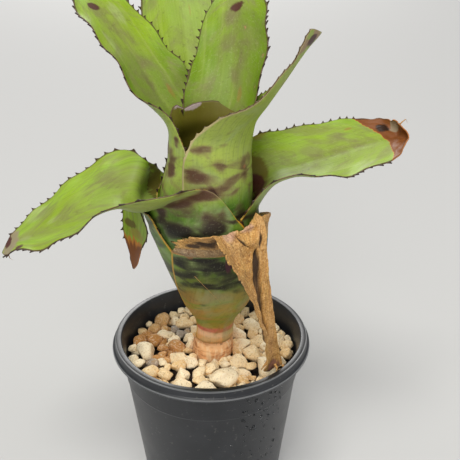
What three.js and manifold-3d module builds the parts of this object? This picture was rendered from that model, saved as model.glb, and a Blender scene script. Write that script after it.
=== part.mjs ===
// A potted canistrum: a tubular bromeliad in a round nursery pot topped with pumice gravel.
// Millimetres, Z up, X to the right and Y away from the viewer; the pot stands on z = 0.
import * as THREE from "three";
import { mergeVertices } from "three/addons/utils/BufferGeometryUtils.js";
import Module from "manifold-3d";

const wasm = await Module();
wasm.setup();

// Pot: a thin tapered wall under a turned-down rim.
const POT = {
  height: 105,
  baseRadius: 43,
  shoulderRadius: 52.3,
  shoulderHeight: 80,
  collarRadius: 53.4,
  collarTop: 98.4,
  mouthRadius: 54.2,
  rimRadius: 58.1,
  lipRadius: 60,
  lipHeight: 100.8,
  skirtBottom: 98.8,
  wall: 1.2,
  footWidth: 4.5,
  floorRise: 2.6,
  floorTop: 4.2,
  hubRadius: 14,
  sides: 48,
};
const DRAIN = { count: 8, radius: 4, circle: 28, sides: 12 };
const FOOT_NOTCH = { count: 8, width: 7, height: 1.6 };

// Filling: potting mix, then a bed of gravel with stones fused to it.
const MIX_TOP = 84;
const BED = { bottom: 84.3, top: 91.5, gap: 0.5, sides: 40 };
const STONES = { wanted: 128, tries: 9000, small: 3.3, large: 6.9, rise: 0.34, unevenness: 0.5 };
const STEM_HOLE = 13.4;

// Stem: the short bare caudex and the core that the sheaths stand on, as radius and height.
const STEM = [
  [0, 66], [7, 66], [9, 74], [11, 84], [12.2, 91], [12.1, 97], [11.3, 101], [10.3, 102.8],
  [9.4, 104.5], [8.2, 107.5], [7.3, 110.5], [6.6, 114], [6.5, 117], [7, 121], [7.2, 126],
  [7.6, 131], [5.6, 136.5], [0, 139],
];
const STEM_SIDES = 20;

// Tank: radius of the outermost sheath against height, and of the narrower inner tube.
const TANK = [
  [88, 12], [104, 11.8], [113, 11.8], [117, 12.6], [120, 14.2], [124, 16.8], [127, 18.9],
  [134, 22.3], [141, 25.2], [148, 27.6], [158, 30.6], [167, 32.6], [177, 34.4], [186, 35.6],
  [200, 36.4], [260, 36.6],
];
const TUBE = [
  [80, 99], [150, 99], [178, 30.5], [190, 28.2], [200, 25.8], [208, 24.2], [216, 23.2],
  [227, 22.8], [236, 23.4], [246, 25.5], [260, 28],
];
const FIRST_TUBE_LAYER = 5;
const TUBE_STEP = 1.35;
// Sideways lean of the whole plant against height.
const LEAN = [
  [84, 0], [95, 0.9], [115, 2.2], [127, 3], [140, 2.8], [158, 1.6], [168, 0.2], [178, -1.6], [192, -3],
  [205, -1.5], [216, -0.3], [230, 0],
];
// Heights at which every sheath has a row of points, so that the layers nest.
const LEVELS = [104, 112, 118, 124, 130, 138, 148, 160, 174, 188, 202, 216];

const SHEATH_THICKNESS = 0.65;
const BLADE_THICKNESS = 0.8;
const TOOTH_HEIGHT = 1.8;
const ROW_LENGTH = 12;
const SEED = 20260;

// Each leaf: azimuth of its midrib in degrees, layer (0 outermost), sheath foot and top,
// half angle of wrap against height, then blade rows of
// [outward, height, sideways, half width, cup radius, roll in degrees, trim]; a trim of 0.3 takes
// three tenths off the side of +v, and of -0.3 off the side of -v.
const LEAVES = [
  {
    name: "leaf_dead_front", azimuth: -46, layer: 0, foot: 104, top: 176, columns: 10, teeth: 0,
    wrap: [[104, 110], [144, 96], [161, 87], [176, 77]],
    blade: [
      [38.6, 188.9, -10.4, 26.4, 37.1, -8, 0.25], [41.1, 192.7, -11.1, 18.7, 38.5, 10, 0.3],
      [43.7, 188.5, -11.2, 21.5, 25.6, 13, 0.45], [45.1, 178.7, -11.5, 19.4, 22.1, 7, 0.48],
      [45.2, 166.8, -11.3, 11.7, 13, 4, 0.22], [45.9, 153.4, -9.6, 7.9, 9.5, 1, 0.05],
      [46.4, 138.7, -6.5, 5.8, 7, -1, 0], [46.2, 122.4, -1.2, 4.1, 6, 4, 0],
      [44.9, 109, 3.1, 5.1, 7, 9, 0], [45, 102.2, 2.7, 7.1, 12, 6, 0],
    ],
    tip: 3, color: "#b98a52",
  },
  {
    name: "leaf_hanging_left", azimuth: 151, layer: 1, foot: 107, top: 184, columns: 10, teeth: 1,
    wrap: [[107, 130], [145, 96], [173, 83], [184, 72]],
    blade: [
      [37.1, 187, 1, 34, 35, 0, -0.4], [39.5, 190.3, 0.5, 25.5, 38.1, -11, -0.45],
      [48.3, 192, 0.1, 17.7, 44.3, -26, -0.29], [50.6, 186.8, -0.4, 14.5, 44.7, -51, -0.07],
      [51.3, 174.7, -3, 14.9, 41.1, -65, 0], [52.6, 162.4, -1.2, 14.8, 37.1, -63, 0],
      [53.1, 151.8, 1.4, 11.3, 23.9, -62, 0], [53.4, 144.3, 4.9, 6.3, 24, -59, 0],
    ],
    tip: 5, color: "#7d9a35",
  },
  {
    name: "leaf_left", azimuth: 187, layer: 2, foot: 110, top: 188, columns: 14, teeth: 1,
    wrap: [[110, 150], [160, 140], [174, 130], [188, 124]],
    sheathTrim: [[160, 0], [188, -0.3]],
    blade: [
      [34, 191.8, 0, 52.9, 31.9, 9, -0.3], [40.3, 196.3, 0.5, 46.4, 28.1, -19, -0.47],
      [47.6, 197.9, 0.5, 37.8, 46.1, -9, -0.13], [56, 196.2, 0.4, 30.3, 52, -11, 0],
      [68, 191.1, -0.1, 24.9, 62, -16, 0], [82, 182.9, -1.8, 20.8, 80, -17, 0],
      [95, 176.1, -3.4, 17.7, 70, -12, 0], [107, 171.6, -4.2, 11.4, 50, -8, 0],
      [113, 167, -5.5, 7.5, 30, -10, 0],
    ],
    tip: 6, color: "#8fae45",
  },
  {
    name: "leaf_right", azimuth: 20, layer: 3, foot: 112, top: 190, columns: 12, teeth: 1,
    wrap: [[112, 150], [150, 130], [175, 92], [190, 70]],
    blade: [
      [36.5, 200, 1, 34, 37, 0], [43, 204, 0, 32, 40, 3], [54, 206, 0, 30, 50, 9],
      [73, 209, 0, 28, 80, 13], [93, 213, -1, 25, 88, 14], [110, 215, -1, 20, 60, 12],
      [119, 216, -2, 12, 30, 9],
    ],
    tip: 5, color: "#86a63f",
  },
  {
    name: "leaf_upper_back", azimuth: 104, layer: 4, foot: 116, top: 188, columns: 12, teeth: 1,
    wrap: [[116, 150], [160, 120], [174, 85], [188, 62]],
    blade: [
      [30.5, 202, 0, 30, 33, 0, 0.3], [34, 220, 0, 24, 38, 0, 0.4],
      [45, 244, 0, 23.5, 50, 0, 0.2], [62, 268, 0, 24, 60, 0, 0], [79, 290, 0, 23, 60, 0, 0],
      [92, 302, 0, 16, 50, 0, 0], [99, 307, 0, 7, 30, 0, 0],
    ],
    tip: 6, color: "#86a63f",
  },
  {
    name: "leaf_front_channelled", azimuth: -25, layer: 5, foot: 120, top: 224, columns: 12,
    teeth: 1,
    wrap: [[120, 150], [188, 106], [204, 92], [216, 99], [224, 96]],
    blade: [
      [23, 231, 2, 34, 22.5, 0, 0], [25.5, 240, 3, 27, 24, 5, 0.1], [32, 250, 4, 20, 30, 9, 0.2],
      [39, 261, 6, 16, 32, 10, 0.15], [44.5, 271, 10, 12, 27, 9, 0],
      [49, 278, 12, 10.5, 20, 4, 0], [52, 282.5, 15, 8.5, 24, 0, 0],
    ],
    tip: 4, color: "#7f9b46",
  },
  {
    name: "leaf_upper_left", azimuth: 144, layer: 6, foot: 122, top: 224, columns: 12, teeth: 1,
    wrap: [[122, 150], [188, 130], [210, 112], [224, 98]],
    blade: [
      [22.6, 233, -1, 32, 23.5, 3, -0.14], [31.9, 243.7, 0.4, 28.4, 37, 5, -0.1],
      [41.3, 256, 1.1, 27.1, 50, 5, 0], [53.4, 269, 0.6, 24.8, 60, 7, 0],
      [67.6, 282.4, 0, 21.2, 60, 0, 0], [79.8, 292.3, 0.3, 15.2, 47, -2, 0],
      [87, 296.9, 0.6, 7.4, 30, 0, 0],
    ],
    tip: 6, color: "#8cab40",
  },
  {
    name: "leaf_upper_right", azimuth: 69, layer: 7, foot: 126, top: 224, columns: 12, teeth: 1,
    wrap: [[126, 150], [188, 130], [212, 110], [224, 94]],
    blade: [
      [20.6, 236, -2, 28.5, 19, 0], [26, 248, -3, 26, 25, -5], [35, 262, -1.5, 24.5, 42, -12],
      [46, 275, 2, 22, 60, -14], [56, 286, 5, 19, 53, -12], [64, 292.5, 6.5, 13, 40, -9],
      [68, 296, 6, 6.5, 30, -4],
    ],
    tip: 6, color: "#8cab40",
  },
  {
    name: "leaf_heart", azimuth: 112, layer: 8, foot: 130, top: 224, columns: 12, teeth: 0.5,
    wrap: [[130, 150], [188, 140], [212, 112], [224, 96]],
    blade: [
      [15.4, 233, 0, 27, 18, 0, -0.06], [15.8, 239, 0, 24, 22, 0, -0.1],
      [16.6, 243.5, 0, 18, 28, 0, -0.2],
    ],
    tip: 0.5, color: "#4d4a1c",
  },
];

function material(color, roughness) {
  return new THREE.MeshStandardMaterial({ color, roughness, metalness: 0 });
}

function meshOf(name, geometry, color, roughness) {
  const mesh = new THREE.Mesh(geometry, material(color, roughness));
  mesh.name = name;
  return mesh;
}

function solidOf(geometry) {
  const bare = geometry.clone();
  bare.deleteAttribute("normal");
  bare.deleteAttribute("uv");
  const merged = mergeVertices(bare, 1e-4);
  return new wasm.Manifold(
    new wasm.Mesh({
      numProp: 3,
      vertProperties: merged.attributes.position.array,
      triVerts: new Uint32Array(merged.index.array),
    }),
  );
}

function geometryOf(solid) {
  const { vertProperties, triVerts } = solid.getMesh();
  const geometry = new THREE.BufferGeometry();
  geometry.setAttribute("position", new THREE.BufferAttribute(vertProperties, 3));
  geometry.setIndex(new THREE.BufferAttribute(triVerts, 1));
  geometry.computeVertexNormals();
  return geometry;
}

function largestBody(solid) {
  return solid.decompose().reduce((best, body) => (body.volume() > best.volume() ? body : best));
}

// A solid turned about Z from [radius, height] points.
function turned(profile, sides) {
  const points = profile.map(([r, z]) => new THREE.Vector2(r, z));
  return new THREE.LatheGeometry(points, sides).rotateX(Math.PI / 2);
}

function alongTable(table, x) {
  if (x <= table[0][0]) return table[0][1];
  for (let i = 1; i < table.length; i++) {
    const [x0, y0] = table[i - 1];
    const [x1, y1] = table[i];
    if (x <= x1) return y0 + ((y1 - y0) * (x - x0)) / (x1 - x0);
  }
  return table[table.length - 1][1];
}

function seededRandom(seed) {
  let state = seed;
  return () => {
    state = (state * 1664525 + 1013904223) % 4294967296;
    return state / 4294967296;
  };
}

// Shifts every vertex sideways by the plant's lean at its height.
function leaned(geometry) {
  const position = geometry.attributes.position;
  for (let i = 0; i < position.count; i++) {
    position.setX(i, position.getX(i) + alongTable(LEAN, position.getZ(i)));
  }
  return geometry;
}

function potRadius(z) {
  const t = z / POT.shoulderHeight;
  if (t <= 1) return POT.baseRadius + (POT.shoulderRadius - POT.baseRadius) * t;
  return alongTable(
    [[POT.shoulderHeight, POT.shoulderRadius + 0.4], [POT.collarTop, POT.collarRadius]], z);
}

function potInnerRadius(z) {
  return potRadius(z) - POT.wall;
}

function drainHole(angle) {
  const depth = 3 * POT.floorTop;
  const hole = new THREE.CylinderGeometry(DRAIN.radius, DRAIN.radius, depth, DRAIN.sides);
  hole.rotateX(Math.PI / 2);
  hole.translate(DRAIN.circle * Math.cos(angle), DRAIN.circle * Math.sin(angle), 0);
  return solidOf(hole);
}

function footNotch(angle) {
  const notch = new THREE.BoxGeometry(3 * POT.footWidth, FOOT_NOTCH.width, 2 * FOOT_NOTCH.height);
  notch.translate(POT.baseRadius - 1, 0, 0).rotateZ(angle);
  return solidOf(notch);
}

function pot() {
  const p = POT;
  const footInner = p.baseRadius - p.footWidth;
  const profile = [
    [0, 0], [p.hubRadius, 0], [p.hubRadius + 2.2, p.floorRise], [footInner - 1, p.floorRise],
    [footInner, 0], [p.baseRadius - 0.8, 0], [p.baseRadius, 0.9],
    [p.shoulderRadius, p.shoulderHeight], [p.shoulderRadius + 0.45, p.shoulderHeight + 0.7],
    [p.collarRadius, p.collarTop], [p.mouthRadius + 0.7, p.height - 1.6],
    [p.rimRadius - 1.5, p.height - 1.6], [p.lipRadius - 1.5, p.skirtBottom],
    [p.lipRadius - 0.2, p.skirtBottom], [p.lipRadius, p.lipHeight - 0.5],
    [p.lipRadius - 0.5, p.lipHeight], [p.rimRadius + 0.3, p.height - 0.7],
    [p.rimRadius - 0.3, p.height], [p.mouthRadius + 0.3, p.height],
    [p.mouthRadius, p.height - 0.5], [p.collarRadius - p.wall, p.collarTop - 0.6],
    [p.shoulderRadius - p.wall, p.shoulderHeight], [p.baseRadius - p.wall + 0.3, p.floorTop],
    [0, p.floorTop],
  ];
  let solid = solidOf(turned(profile, p.sides));
  for (let i = 0; i < DRAIN.count; i++) {
    const angle = (2 * Math.PI * i) / DRAIN.count;
    solid = solid.subtract(drainHole(angle));
    solid = solid.subtract(footNotch(angle + Math.PI / FOOT_NOTCH.count));
  }
  return meshOf("pot", geometryOf(solid), "#343537", 0.42);
}

function pottingMix() {
  const gap = 0.3;
  const bottom = POT.floorTop + gap;
  const sink = gap + 0.2;
  const profile = [
    [0, bottom], [potInnerRadius(bottom) - sink, bottom],
    [potInnerRadius(MIX_TOP - 4) - sink, MIX_TOP - 4], [potInnerRadius(MIX_TOP) - sink, MIX_TOP],
    [STEM_HOLE, MIX_TOP], [9.8, 74], [7.9, 65.7], [0, 65.7],
  ];
  return meshOf("potting_mix", turned(profile, BED.sides), "#3b2a1d", 0.95);
}

// One pumice stone: an icosahedron with uneven corners, flattened and turned at random.
function stone(random, size) {
  const lump = new THREE.IcosahedronGeometry(1, 0);
  const shaped = mergeVertices(lump.deleteAttribute("normal").deleteAttribute("uv"), 1e-4);
  const position = shaped.attributes.position;
  for (let i = 0; i < position.count; i++) {
    const s = 0.86 + 0.28 * random();
    position.setXYZ(i, position.getX(i) * s, position.getY(i) * s, position.getZ(i) * s);
  }
  shaped.rotateX(6 * random()).rotateY(6 * random());
  shaped.scale(size * (1.0 + 0.32 * random()), size * (0.8 + 0.2 * random()), size * 0.82);
  return shaped.rotateX(0.5 * (random() - 0.5)).rotateZ(2 * Math.PI * random());
}

function stonePlaces(random) {
  const places = [];
  for (let i = 0; i < STONES.tries && places.length < STONES.wanted; i++) {
    const shrink = 1 - (0.55 * i) / STONES.tries;
    const size = (STONES.small + (STONES.large - STONES.small) * random() ** 1.3) * shrink;
    const radius = Math.max(size, 2.6);
    const reach = potInnerRadius(BED.top) - 1.2 * radius;
    const inner = STEM_HOLE + 1.2 * radius;
    const r = Math.sqrt(inner ** 2 + (reach ** 2 - inner ** 2) * random());
    const angle = 2 * Math.PI * random();
    const x = r * Math.cos(angle);
    const y = r * Math.sin(angle);
    const free = places.every((o) => Math.hypot(o.x - x, o.y - y) > 0.94 * (o.radius + radius));
    if (free) places.push({ x, y, radius });
  }
  return places;
}

function gravel() {
  const random = seededRandom(SEED);
  const bedProfile = [
    [STEM_HOLE, BED.bottom], [potInnerRadius(BED.bottom) - BED.gap, BED.bottom],
    [potInnerRadius(BED.top) - BED.gap, BED.top], [STEM_HOLE, BED.top], [STEM_HOLE, BED.bottom],
  ];
  const bed = solidOf(turned(bedProfile, BED.sides));
  const stones = stonePlaces(random).map(({ x, y, radius }) => {
    const z = BED.top + STONES.rise * radius + STONES.unevenness * (2 * random() - 1);
    return solidOf(stone(random, radius).translate(x, y, z));
  });
  const fused = stones.reduce((sum, next) => sum.add(next), bed);
  const room = solidOf(turned([
    [STEM_HOLE, BED.bottom], [potInnerRadius(BED.bottom) - BED.gap, BED.bottom],
    [potInnerRadius(POT.collarTop) - BED.gap, POT.collarTop - 1],
    [POT.mouthRadius - 1.5, POT.height], [STEM_HOLE, POT.height], [STEM_HOLE, BED.bottom],
  ], BED.sides));
  return meshOf("pumice_gravel", geometryOf(largestBody(fused.intersect(room))), "#d8bd8c", 0.9);
}

function stem() {
  return meshOf("stem", leaned(turned(STEM, STEM_SIDES)), "#b5713f", 0.8);
}

function sheathRadius(layer, z) {
  const tank = alongTable(TANK, z);
  const step = 1.15 + 0.028 * Math.max(0, tank - 14);
  const radius = tank - 0.4 - layer * step;
  if (layer < FIRST_TUBE_LAYER) return radius;
  return Math.min(radius, alongTable(TUBE, z) - (layer - FIRST_TUBE_LAYER) * TUBE_STEP);
}

// Rows of [outward, height, sideways, half width, curvature, roll, sheath share, trim].
function leafRows(leaf) {
  const { layer, foot, top, wrap, sheathTrim = [[top, 0]], blade } = leaf;
  const between = LEVELS.filter((z) => z > foot + 1 && z < top - 9);
  const rows = [foot, ...between, top - 7, top].map((z) => {
    const radius = sheathRadius(layer, z);
    const angle = THREE.MathUtils.degToRad(alongTable(wrap, z));
    return [radius, z, 0, angle * radius, 1 / radius, 0, 1, alongTable(sheathTrim, z)];
  });
  const shares = [0.5, 0.15];
  blade.forEach(([out, z, side, half, cup, roll, trim = 0], i) => {
    const turn = THREE.MathUtils.degToRad(roll);
    rows.push([out, z, side, half, 1 / cup, turn, shares[i] ?? 0, trim]);
  });
  return rows;
}

function mixRows(a, b, t, t0, t1) {
  const w = (t - t0) / (t1 - t0);
  return a.map((value, i) => value + (b[i] - value) * w);
}

// Centripetal Catmull-Rom through the rows; u counts rows, with its fraction in between.
function rowSpline(rows) {
  const last = rows.length - 1;
  const before = rows[0].map((v, i) => 2 * v - rows[1][i]);
  const after = rows[last].map((v, i) => 2 * v - rows[last - 1][i]);
  const all = [before, ...rows, after];
  const knots = [0];
  for (let i = 1; i < all.length; i++) {
    const [a, b] = [all[i - 1], all[i]];
    const gap = Math.hypot(a[0] - b[0], a[1] - b[1], a[2] - b[2]);
    knots.push(knots[i - 1] + Math.sqrt(Math.max(gap, 0.5)));
  }
  return (u) => {
    const i = Math.min(Math.max(Math.floor(u), 0), last - 1);
    const [p0, p1, p2, p3] = all.slice(i, i + 4);
    const [t0, t1, t2, t3] = knots.slice(i, i + 4);
    const t = t1 + (t2 - t1) * (u - i);
    const a1 = mixRows(p0, p1, t, t0, t1);
    const a2 = mixRows(p1, p2, t, t1, t2);
    const a3 = mixRows(p2, p3, t, t2, t3);
    return mixRows(mixRows(a1, a2, t, t0, t2), mixRows(a2, a3, t, t1, t3), t, t1, t2);
  };
}

// The middle surface of a leaf: u runs from foot to tip, v from margin (-1) to margin (1).
function leafSurface(leaf) {
  const rowAt = rowSpline(leafRows(leaf));
  const azimuth = THREE.MathUtils.degToRad(leaf.azimuth);
  const outward = new THREE.Vector3(Math.cos(azimuth), Math.sin(azimuth), 0);
  const sideways = new THREE.Vector3(-Math.sin(azimuth), Math.cos(azimuth), 0);
  const spine = (row) =>
    outward.clone().multiplyScalar(row[0]).addScaledVector(sideways, row[2]).setZ(row[1]);
  return (u, v) => {
    const row = rowAt(u);
    const [, , , half, curvature, roll, share, trim] = row;
    const ahead = spine(rowAt(u + 0.002)).sub(spine(rowAt(u - 0.002))).normalize();
    const lean = (share - 1) * sideways.dot(ahead);
    const across = sideways.clone().addScaledVector(ahead, lean).normalize();
    const up = ahead.clone().cross(across);
    const side = across.clone().multiplyScalar(Math.cos(roll)).addScaledVector(up, Math.sin(roll));
    const rolled = across.multiplyScalar(-Math.sin(roll)).addScaledVector(up, Math.cos(roll));
    const inner = rolled.multiplyScalar(1 - share).addScaledVector(outward, -share);
    inner.addScaledVector(side, -inner.dot(side)).normalize();
    const kept = 1 - Math.max(0, Math.sign(v) * trim);
    const theta = v * half * curvature * kept;
    const point = spine(row).addScaledVector(side, Math.sin(theta) / curvature);
    point.addScaledVector(inner, (1 - Math.cos(theta)) / curvature);
    return point.setX(point.x + alongTable(LEAN, point.z));
  };
}

// Positions u of the cross rows: the given rows, with long blade stretches divided.
function rowPositions(leaf) {
  const rows = leafRows(leaf);
  const sheathRows = rows.length - leaf.blade.length;
  const positions = [0];
  for (let i = 1; i < rows.length; i++) {
    const [a, b] = [rows[i - 1], rows[i]];
    const gap = Math.hypot(a[0] - b[0], a[1] - b[1], a[2] - b[2]);
    const parts = i < sheathRows ? 1 : Math.max(1, Math.round(gap / ROW_LENGTH));
    for (let k = 1; k <= parts; k++) positions.push(i - 1 + k / parts);
  }
  return { positions, bladeFrom: sheathRows };
}

// A flat net over the leaf: points with normals, and triangles wound for the outer face.
function leafNet(leaf) {
  const surface = leafSurface(leaf);
  const { positions, bladeFrom } = rowPositions(leaf);
  const net = { points: [], normals: [], thickness: [], triangles: [] };
  const add = (u, v, outstep = 0) => {
    const e = 0.01;
    const along = surface(u + e, v).sub(surface(u - e, v));
    const over = surface(u, v + e).sub(surface(u, v - e));
    const normal = along.clone().cross(over).normalize();
    const point = surface(u, v).addScaledVector(over.normalize(), outstep * Math.sign(v));
    net.points.push(point);
    net.normals.push(normal);
    net.thickness.push(u < bladeFrom ? SHEATH_THICKNESS : BLADE_THICKNESS);
    return net.points.length - 1;
  };
  const columns = Array.from({ length: leaf.columns + 1 }, (_, j) => (2 * j) / leaf.columns - 1);
  const grid = positions.map((u) => columns.map((v) => add(u, v)));
  for (let i = 0; i + 1 < grid.length; i++) {
    const [low, high] = [grid[i], grid[i + 1]];
    for (let j = 1; j + 2 < columns.length; j++) {
      splitCell(net, low[j], low[j + 1], high[j], high[j + 1]);
    }
    if (leaf.teeth === 0 || positions[i] < bladeFrom) {
      splitCell(net, low[0], low[1], high[0], high[1]);
      splitCell(net, low.at(-2), low.at(-1), high.at(-2), high.at(-1));
      continue;
    }
    const rim = (v) => {
      const step = positions[i + 1] - positions[i];
      const height = TOOTH_HEIGHT * leaf.teeth;
      return [[0.38, height], [0.5, 0], [0.88, height]].map(
        ([part, out]) => add(positions[i] + part * step, v, out));
    };
    marginFan(net, [low[0], ...rim(-1), high[0]], low[1], high[1], true);
    marginFan(net, [low.at(-1), ...rim(1), high.at(-1)], low.at(-2), high.at(-2), false);
  }
  if (leaf.tip > 0) {
    const end = positions.at(-1);
    const spineEnd = surface(end, 0);
    const ahead = spineEnd.clone().sub(surface(end - 0.1, 0)).normalize();
    net.points.push(spineEnd.addScaledVector(ahead, leaf.tip));
    net.normals.push(net.normals[grid.at(-1)[Math.floor(columns.length / 2)]]);
    net.thickness.push(BLADE_THICKNESS);
    const apex = net.points.length - 1;
    const edge = grid.at(-1);
    for (let j = 0; j + 1 < edge.length; j++) net.triangles.push([edge[j], edge[j + 1], apex]);
  }
  return net;
}

// Two triangles for one cell of the net, cut along its shorter diagonal.
function splitCell({ points, triangles }, a, b, c, d) {
  if (points[a].distanceTo(points[d]) < points[b].distanceTo(points[c])) {
    triangles.push([a, b, d], [a, d, c]);
  } else {
    triangles.push([a, b, c], [b, d, c]);
  }
}

// Triangles between one margin line and the two inner points beside it.
function marginFan(net, rim, low, high, left) {
  const middle = Math.floor(rim.length / 2);
  const push = (a, b, c) => net.triangles.push(left ? [a, b, c] : [b, a, c]);
  for (let k = 0; k + 1 < rim.length; k++) {
    push(rim[k], k < middle ? low : high, rim[k + 1]);
  }
  push(low, high, rim[middle]);
}

// Gives the net its thickness: two faces with the same triangles, and a wall along every edge.
function thickened({ points, normals, thickness, triangles }) {
  const count = points.length;
  const position = [];
  for (const side of [0.5, -0.5]) {
    points.forEach((p, i) => {
      position.push(...p.clone().addScaledVector(normals[i], side * thickness[i]).toArray());
    });
  }
  const index = [];
  const edges = new Set(triangles.flatMap(([a, b, c]) => [`${a},${b}`, `${b},${c}`, `${c},${a}`]));
  for (const [a, b, c] of triangles) {
    index.push(a + count, b + count, c + count, c, b, a);
    for (const [p, q] of [[a, b], [b, c], [c, a]]) {
      if (edges.has(`${q},${p}`)) continue;
      index.push(q + count, p + count, p, q + count, p, q);
    }
  }
  const geometry = new THREE.BufferGeometry();
  geometry.setAttribute("position", new THREE.Float32BufferAttribute(position, 3));
  geometry.setIndex(index);
  geometry.computeVertexNormals();
  return geometry;
}

const plant = new THREE.Group();
plant.name = "potted_canistrum";
plant.add(pot(), pottingMix(), gravel(), stem());
for (const leaf of LEAVES) {
  plant.add(meshOf(leaf.name, thickened(leafNet(leaf)), leaf.color, 0.5));
}

export default plant;
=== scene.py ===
# Potted canistrum: waxy toothed leaves round a tube, pumice gravel and a black nursery pot.
# The forms are worked out in millimetres and brought to metres when a piece is finished.
import bpy
import bmesh
import math
from mathutils import Matrix, Vector, noise


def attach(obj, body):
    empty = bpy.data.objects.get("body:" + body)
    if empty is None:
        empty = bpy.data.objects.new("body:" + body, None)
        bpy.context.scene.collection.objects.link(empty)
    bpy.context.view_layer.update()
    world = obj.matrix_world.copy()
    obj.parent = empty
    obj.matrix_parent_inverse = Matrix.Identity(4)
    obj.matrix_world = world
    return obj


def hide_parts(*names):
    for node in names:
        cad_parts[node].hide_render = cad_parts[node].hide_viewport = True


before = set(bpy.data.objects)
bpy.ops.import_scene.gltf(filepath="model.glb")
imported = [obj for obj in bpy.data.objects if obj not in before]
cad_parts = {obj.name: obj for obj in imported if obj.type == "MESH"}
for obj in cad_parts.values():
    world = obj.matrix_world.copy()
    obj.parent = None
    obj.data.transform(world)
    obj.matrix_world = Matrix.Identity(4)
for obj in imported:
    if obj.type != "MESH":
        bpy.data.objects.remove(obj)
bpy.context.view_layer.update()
bpy.context.scene.view_settings.view_transform = "Standard"
print("frame loaded:", len(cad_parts), "nodes")


def linear(hexText):
    parts = [int(hexText[i:i + 2], 16) / 255 for i in (1, 3, 5)]
    return [p / 12.92 if p <= 0.04045 else ((p + 0.055) / 1.055) ** 2.4 for p in parts] + [1.0]


# Gives a node's inputs their links and values, by name or listed in the node's own order. A value
# written as text is a colour.
def fill(made, inputs):
    for name, value in inputs.items() if isinstance(inputs, dict) else enumerate(inputs):
        if isinstance(value, bpy.types.NodeSocket):
            made.id_data.links.new(value, made.inputs[name])
        else:
            made.inputs[name].default_value = linear(value) if isinstance(value, str) else value


# Adds a node with its settings and links to a material, and gives back one of its outputs.
def node(material, kind, inputs=(), out=0, **settings):
    made = material.node_tree.nodes.new("ShaderNode" + kind)
    for name, value in settings.items():
        setattr(made, name, value)
    fill(made, inputs)
    return made.outputs[out]


def newMaterial(name):
    material = bpy.data.materials.new(name)
    material.use_nodes = True
    return material, material.node_tree.nodes["Principled BSDF"]


# A pattern raised where the leaf has a mark, so that the mark's border is as uneven as the pattern.
def raised(material, name, pattern, amount=0.6):
    mark = node(material, "Attribute", out="Fac", attribute_name=name)
    return node(material, "Math", (mark, amount, pattern), operation="MULTIPLY_ADD")


# Lays colours over a first one. A coat is (mask, where it starts, where it is full, strength, colour),
# and its mask is a pattern, or a mark's name and the pattern that the mark raises.
def layCoats(material, base, coats):
    for mask, start, full, strength, top in coats:
        mask = raised(material, *mask) if isinstance(mask, tuple) else mask
        share = node(material, "MapRange", (mask, start, full, 0, strength),
                     interpolation_type="SMOOTHSTEP")
        base = node(material, "Mix", {0: share, 6: base, 7: top}, 2, data_type="RGBA")
    return base


# Patterns that the plant's materials share: scale along the leaf, where a small one draws them out to
# streaks, then scale, detail, roughness and distortion. A scale of 900 gives grains of about 1 mm.
leafNoises = {
    "veins": (0.035, 900, 3, 0.5, 0), "streaks": (0.035, 260, 3, 0.5, 0),
    "clouds": (0.72, 120, 4, 0.6, 0.5), "haze": (0.72, 75, 3, 0.5, 0.8),
    "drift": (0.72, 42, 2, 0.5, 0), "flecks": (1, 520, 2, 0.5, 0), "scales": (1, 950, 3, 0.5, 0),
}


# These patterns on the leaf's own measure across and along, and the marks that are named.
def leafPatterns(material, marks=()):
    place = node(material, "Attribute", out="Vector", attribute_name="leafPlace")
    patterns = {name: node(material, "Attribute", out="Fac", attribute_name=name) for name in marks}
    for name, (along, scale, detail, roughness, distortion) in leafNoises.items():
        patterns[name] = node(material, "TexNoise", {
            "Vector": node(material, "Mapping", {"Vector": place, "Scale": (1, along, 1)}),
            "Scale": scale, "Detail": detail, "Roughness": roughness, "Distortion": distortion})
    return patterns


# Colour, roughness between two values of a pattern, and fine relief from (pattern, share) pairs.
def finishShader(material, shader, colour, pattern, rough, relief, strength, distance):
    height = 0.0
    for part, share in relief:
        height = node(material, "Math", (part, share, height), operation="MULTIPLY_ADD")
    fill(shader, {
        "Base Color": colour,
        "Roughness": node(material, "MapRange", (pattern, 0.3, 0.8, *rough)),
        "Normal": node(material, "Bump", {
            "Height": height, "Strength": strength, "Distance": distance}),
    })


# Puts a form into the scene as an object.
def placeMesh(bm, name):
    mesh = bpy.data.meshes.new(name)
    bm.to_mesh(mesh)
    bm.free()
    placed = bpy.data.objects.new(name, mesh)
    bpy.context.scene.collection.objects.link(placed)
    return placed


# Brings a form from millimetres to metres and makes it a piece of the part.
def finishPiece(bm, name, materials, replaced=()):
    bmesh.ops.scale(bm, vec=(0.001, 0.001, 0.001), verts=bm.verts)
    piece = placeMesh(bm, name)
    for face in piece.data.polygons:
        face.use_smooth = True
    for material in materials:
        piece.data.materials.append(material)
    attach(piece, "root")
    if replaced:
        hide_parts(*replaced)
    return piece


def alongTable(table, x):
    if x <= table[0][0]:
        return table[0][1]
    for (x0, y0), (x1, y1) in zip(table, table[1:]):
        if x <= x1:
            return y0 + (y1 - y0) * (x - x0) / (x1 - x0)
    return table[-1][1]


def smoothStep(low, high, x):
    t = min(max((x - low) / (high - low), 0.0), 1.0)
    return t * t * (3 - 2 * t)


def ripple(*place):
    return noise.noise(Vector(place))


def seededRandom(seed):
    state = seed
    while True:
        state = (state * 1664525 + 1013904223) % 4294967296
        yield state / 4294967296


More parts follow.
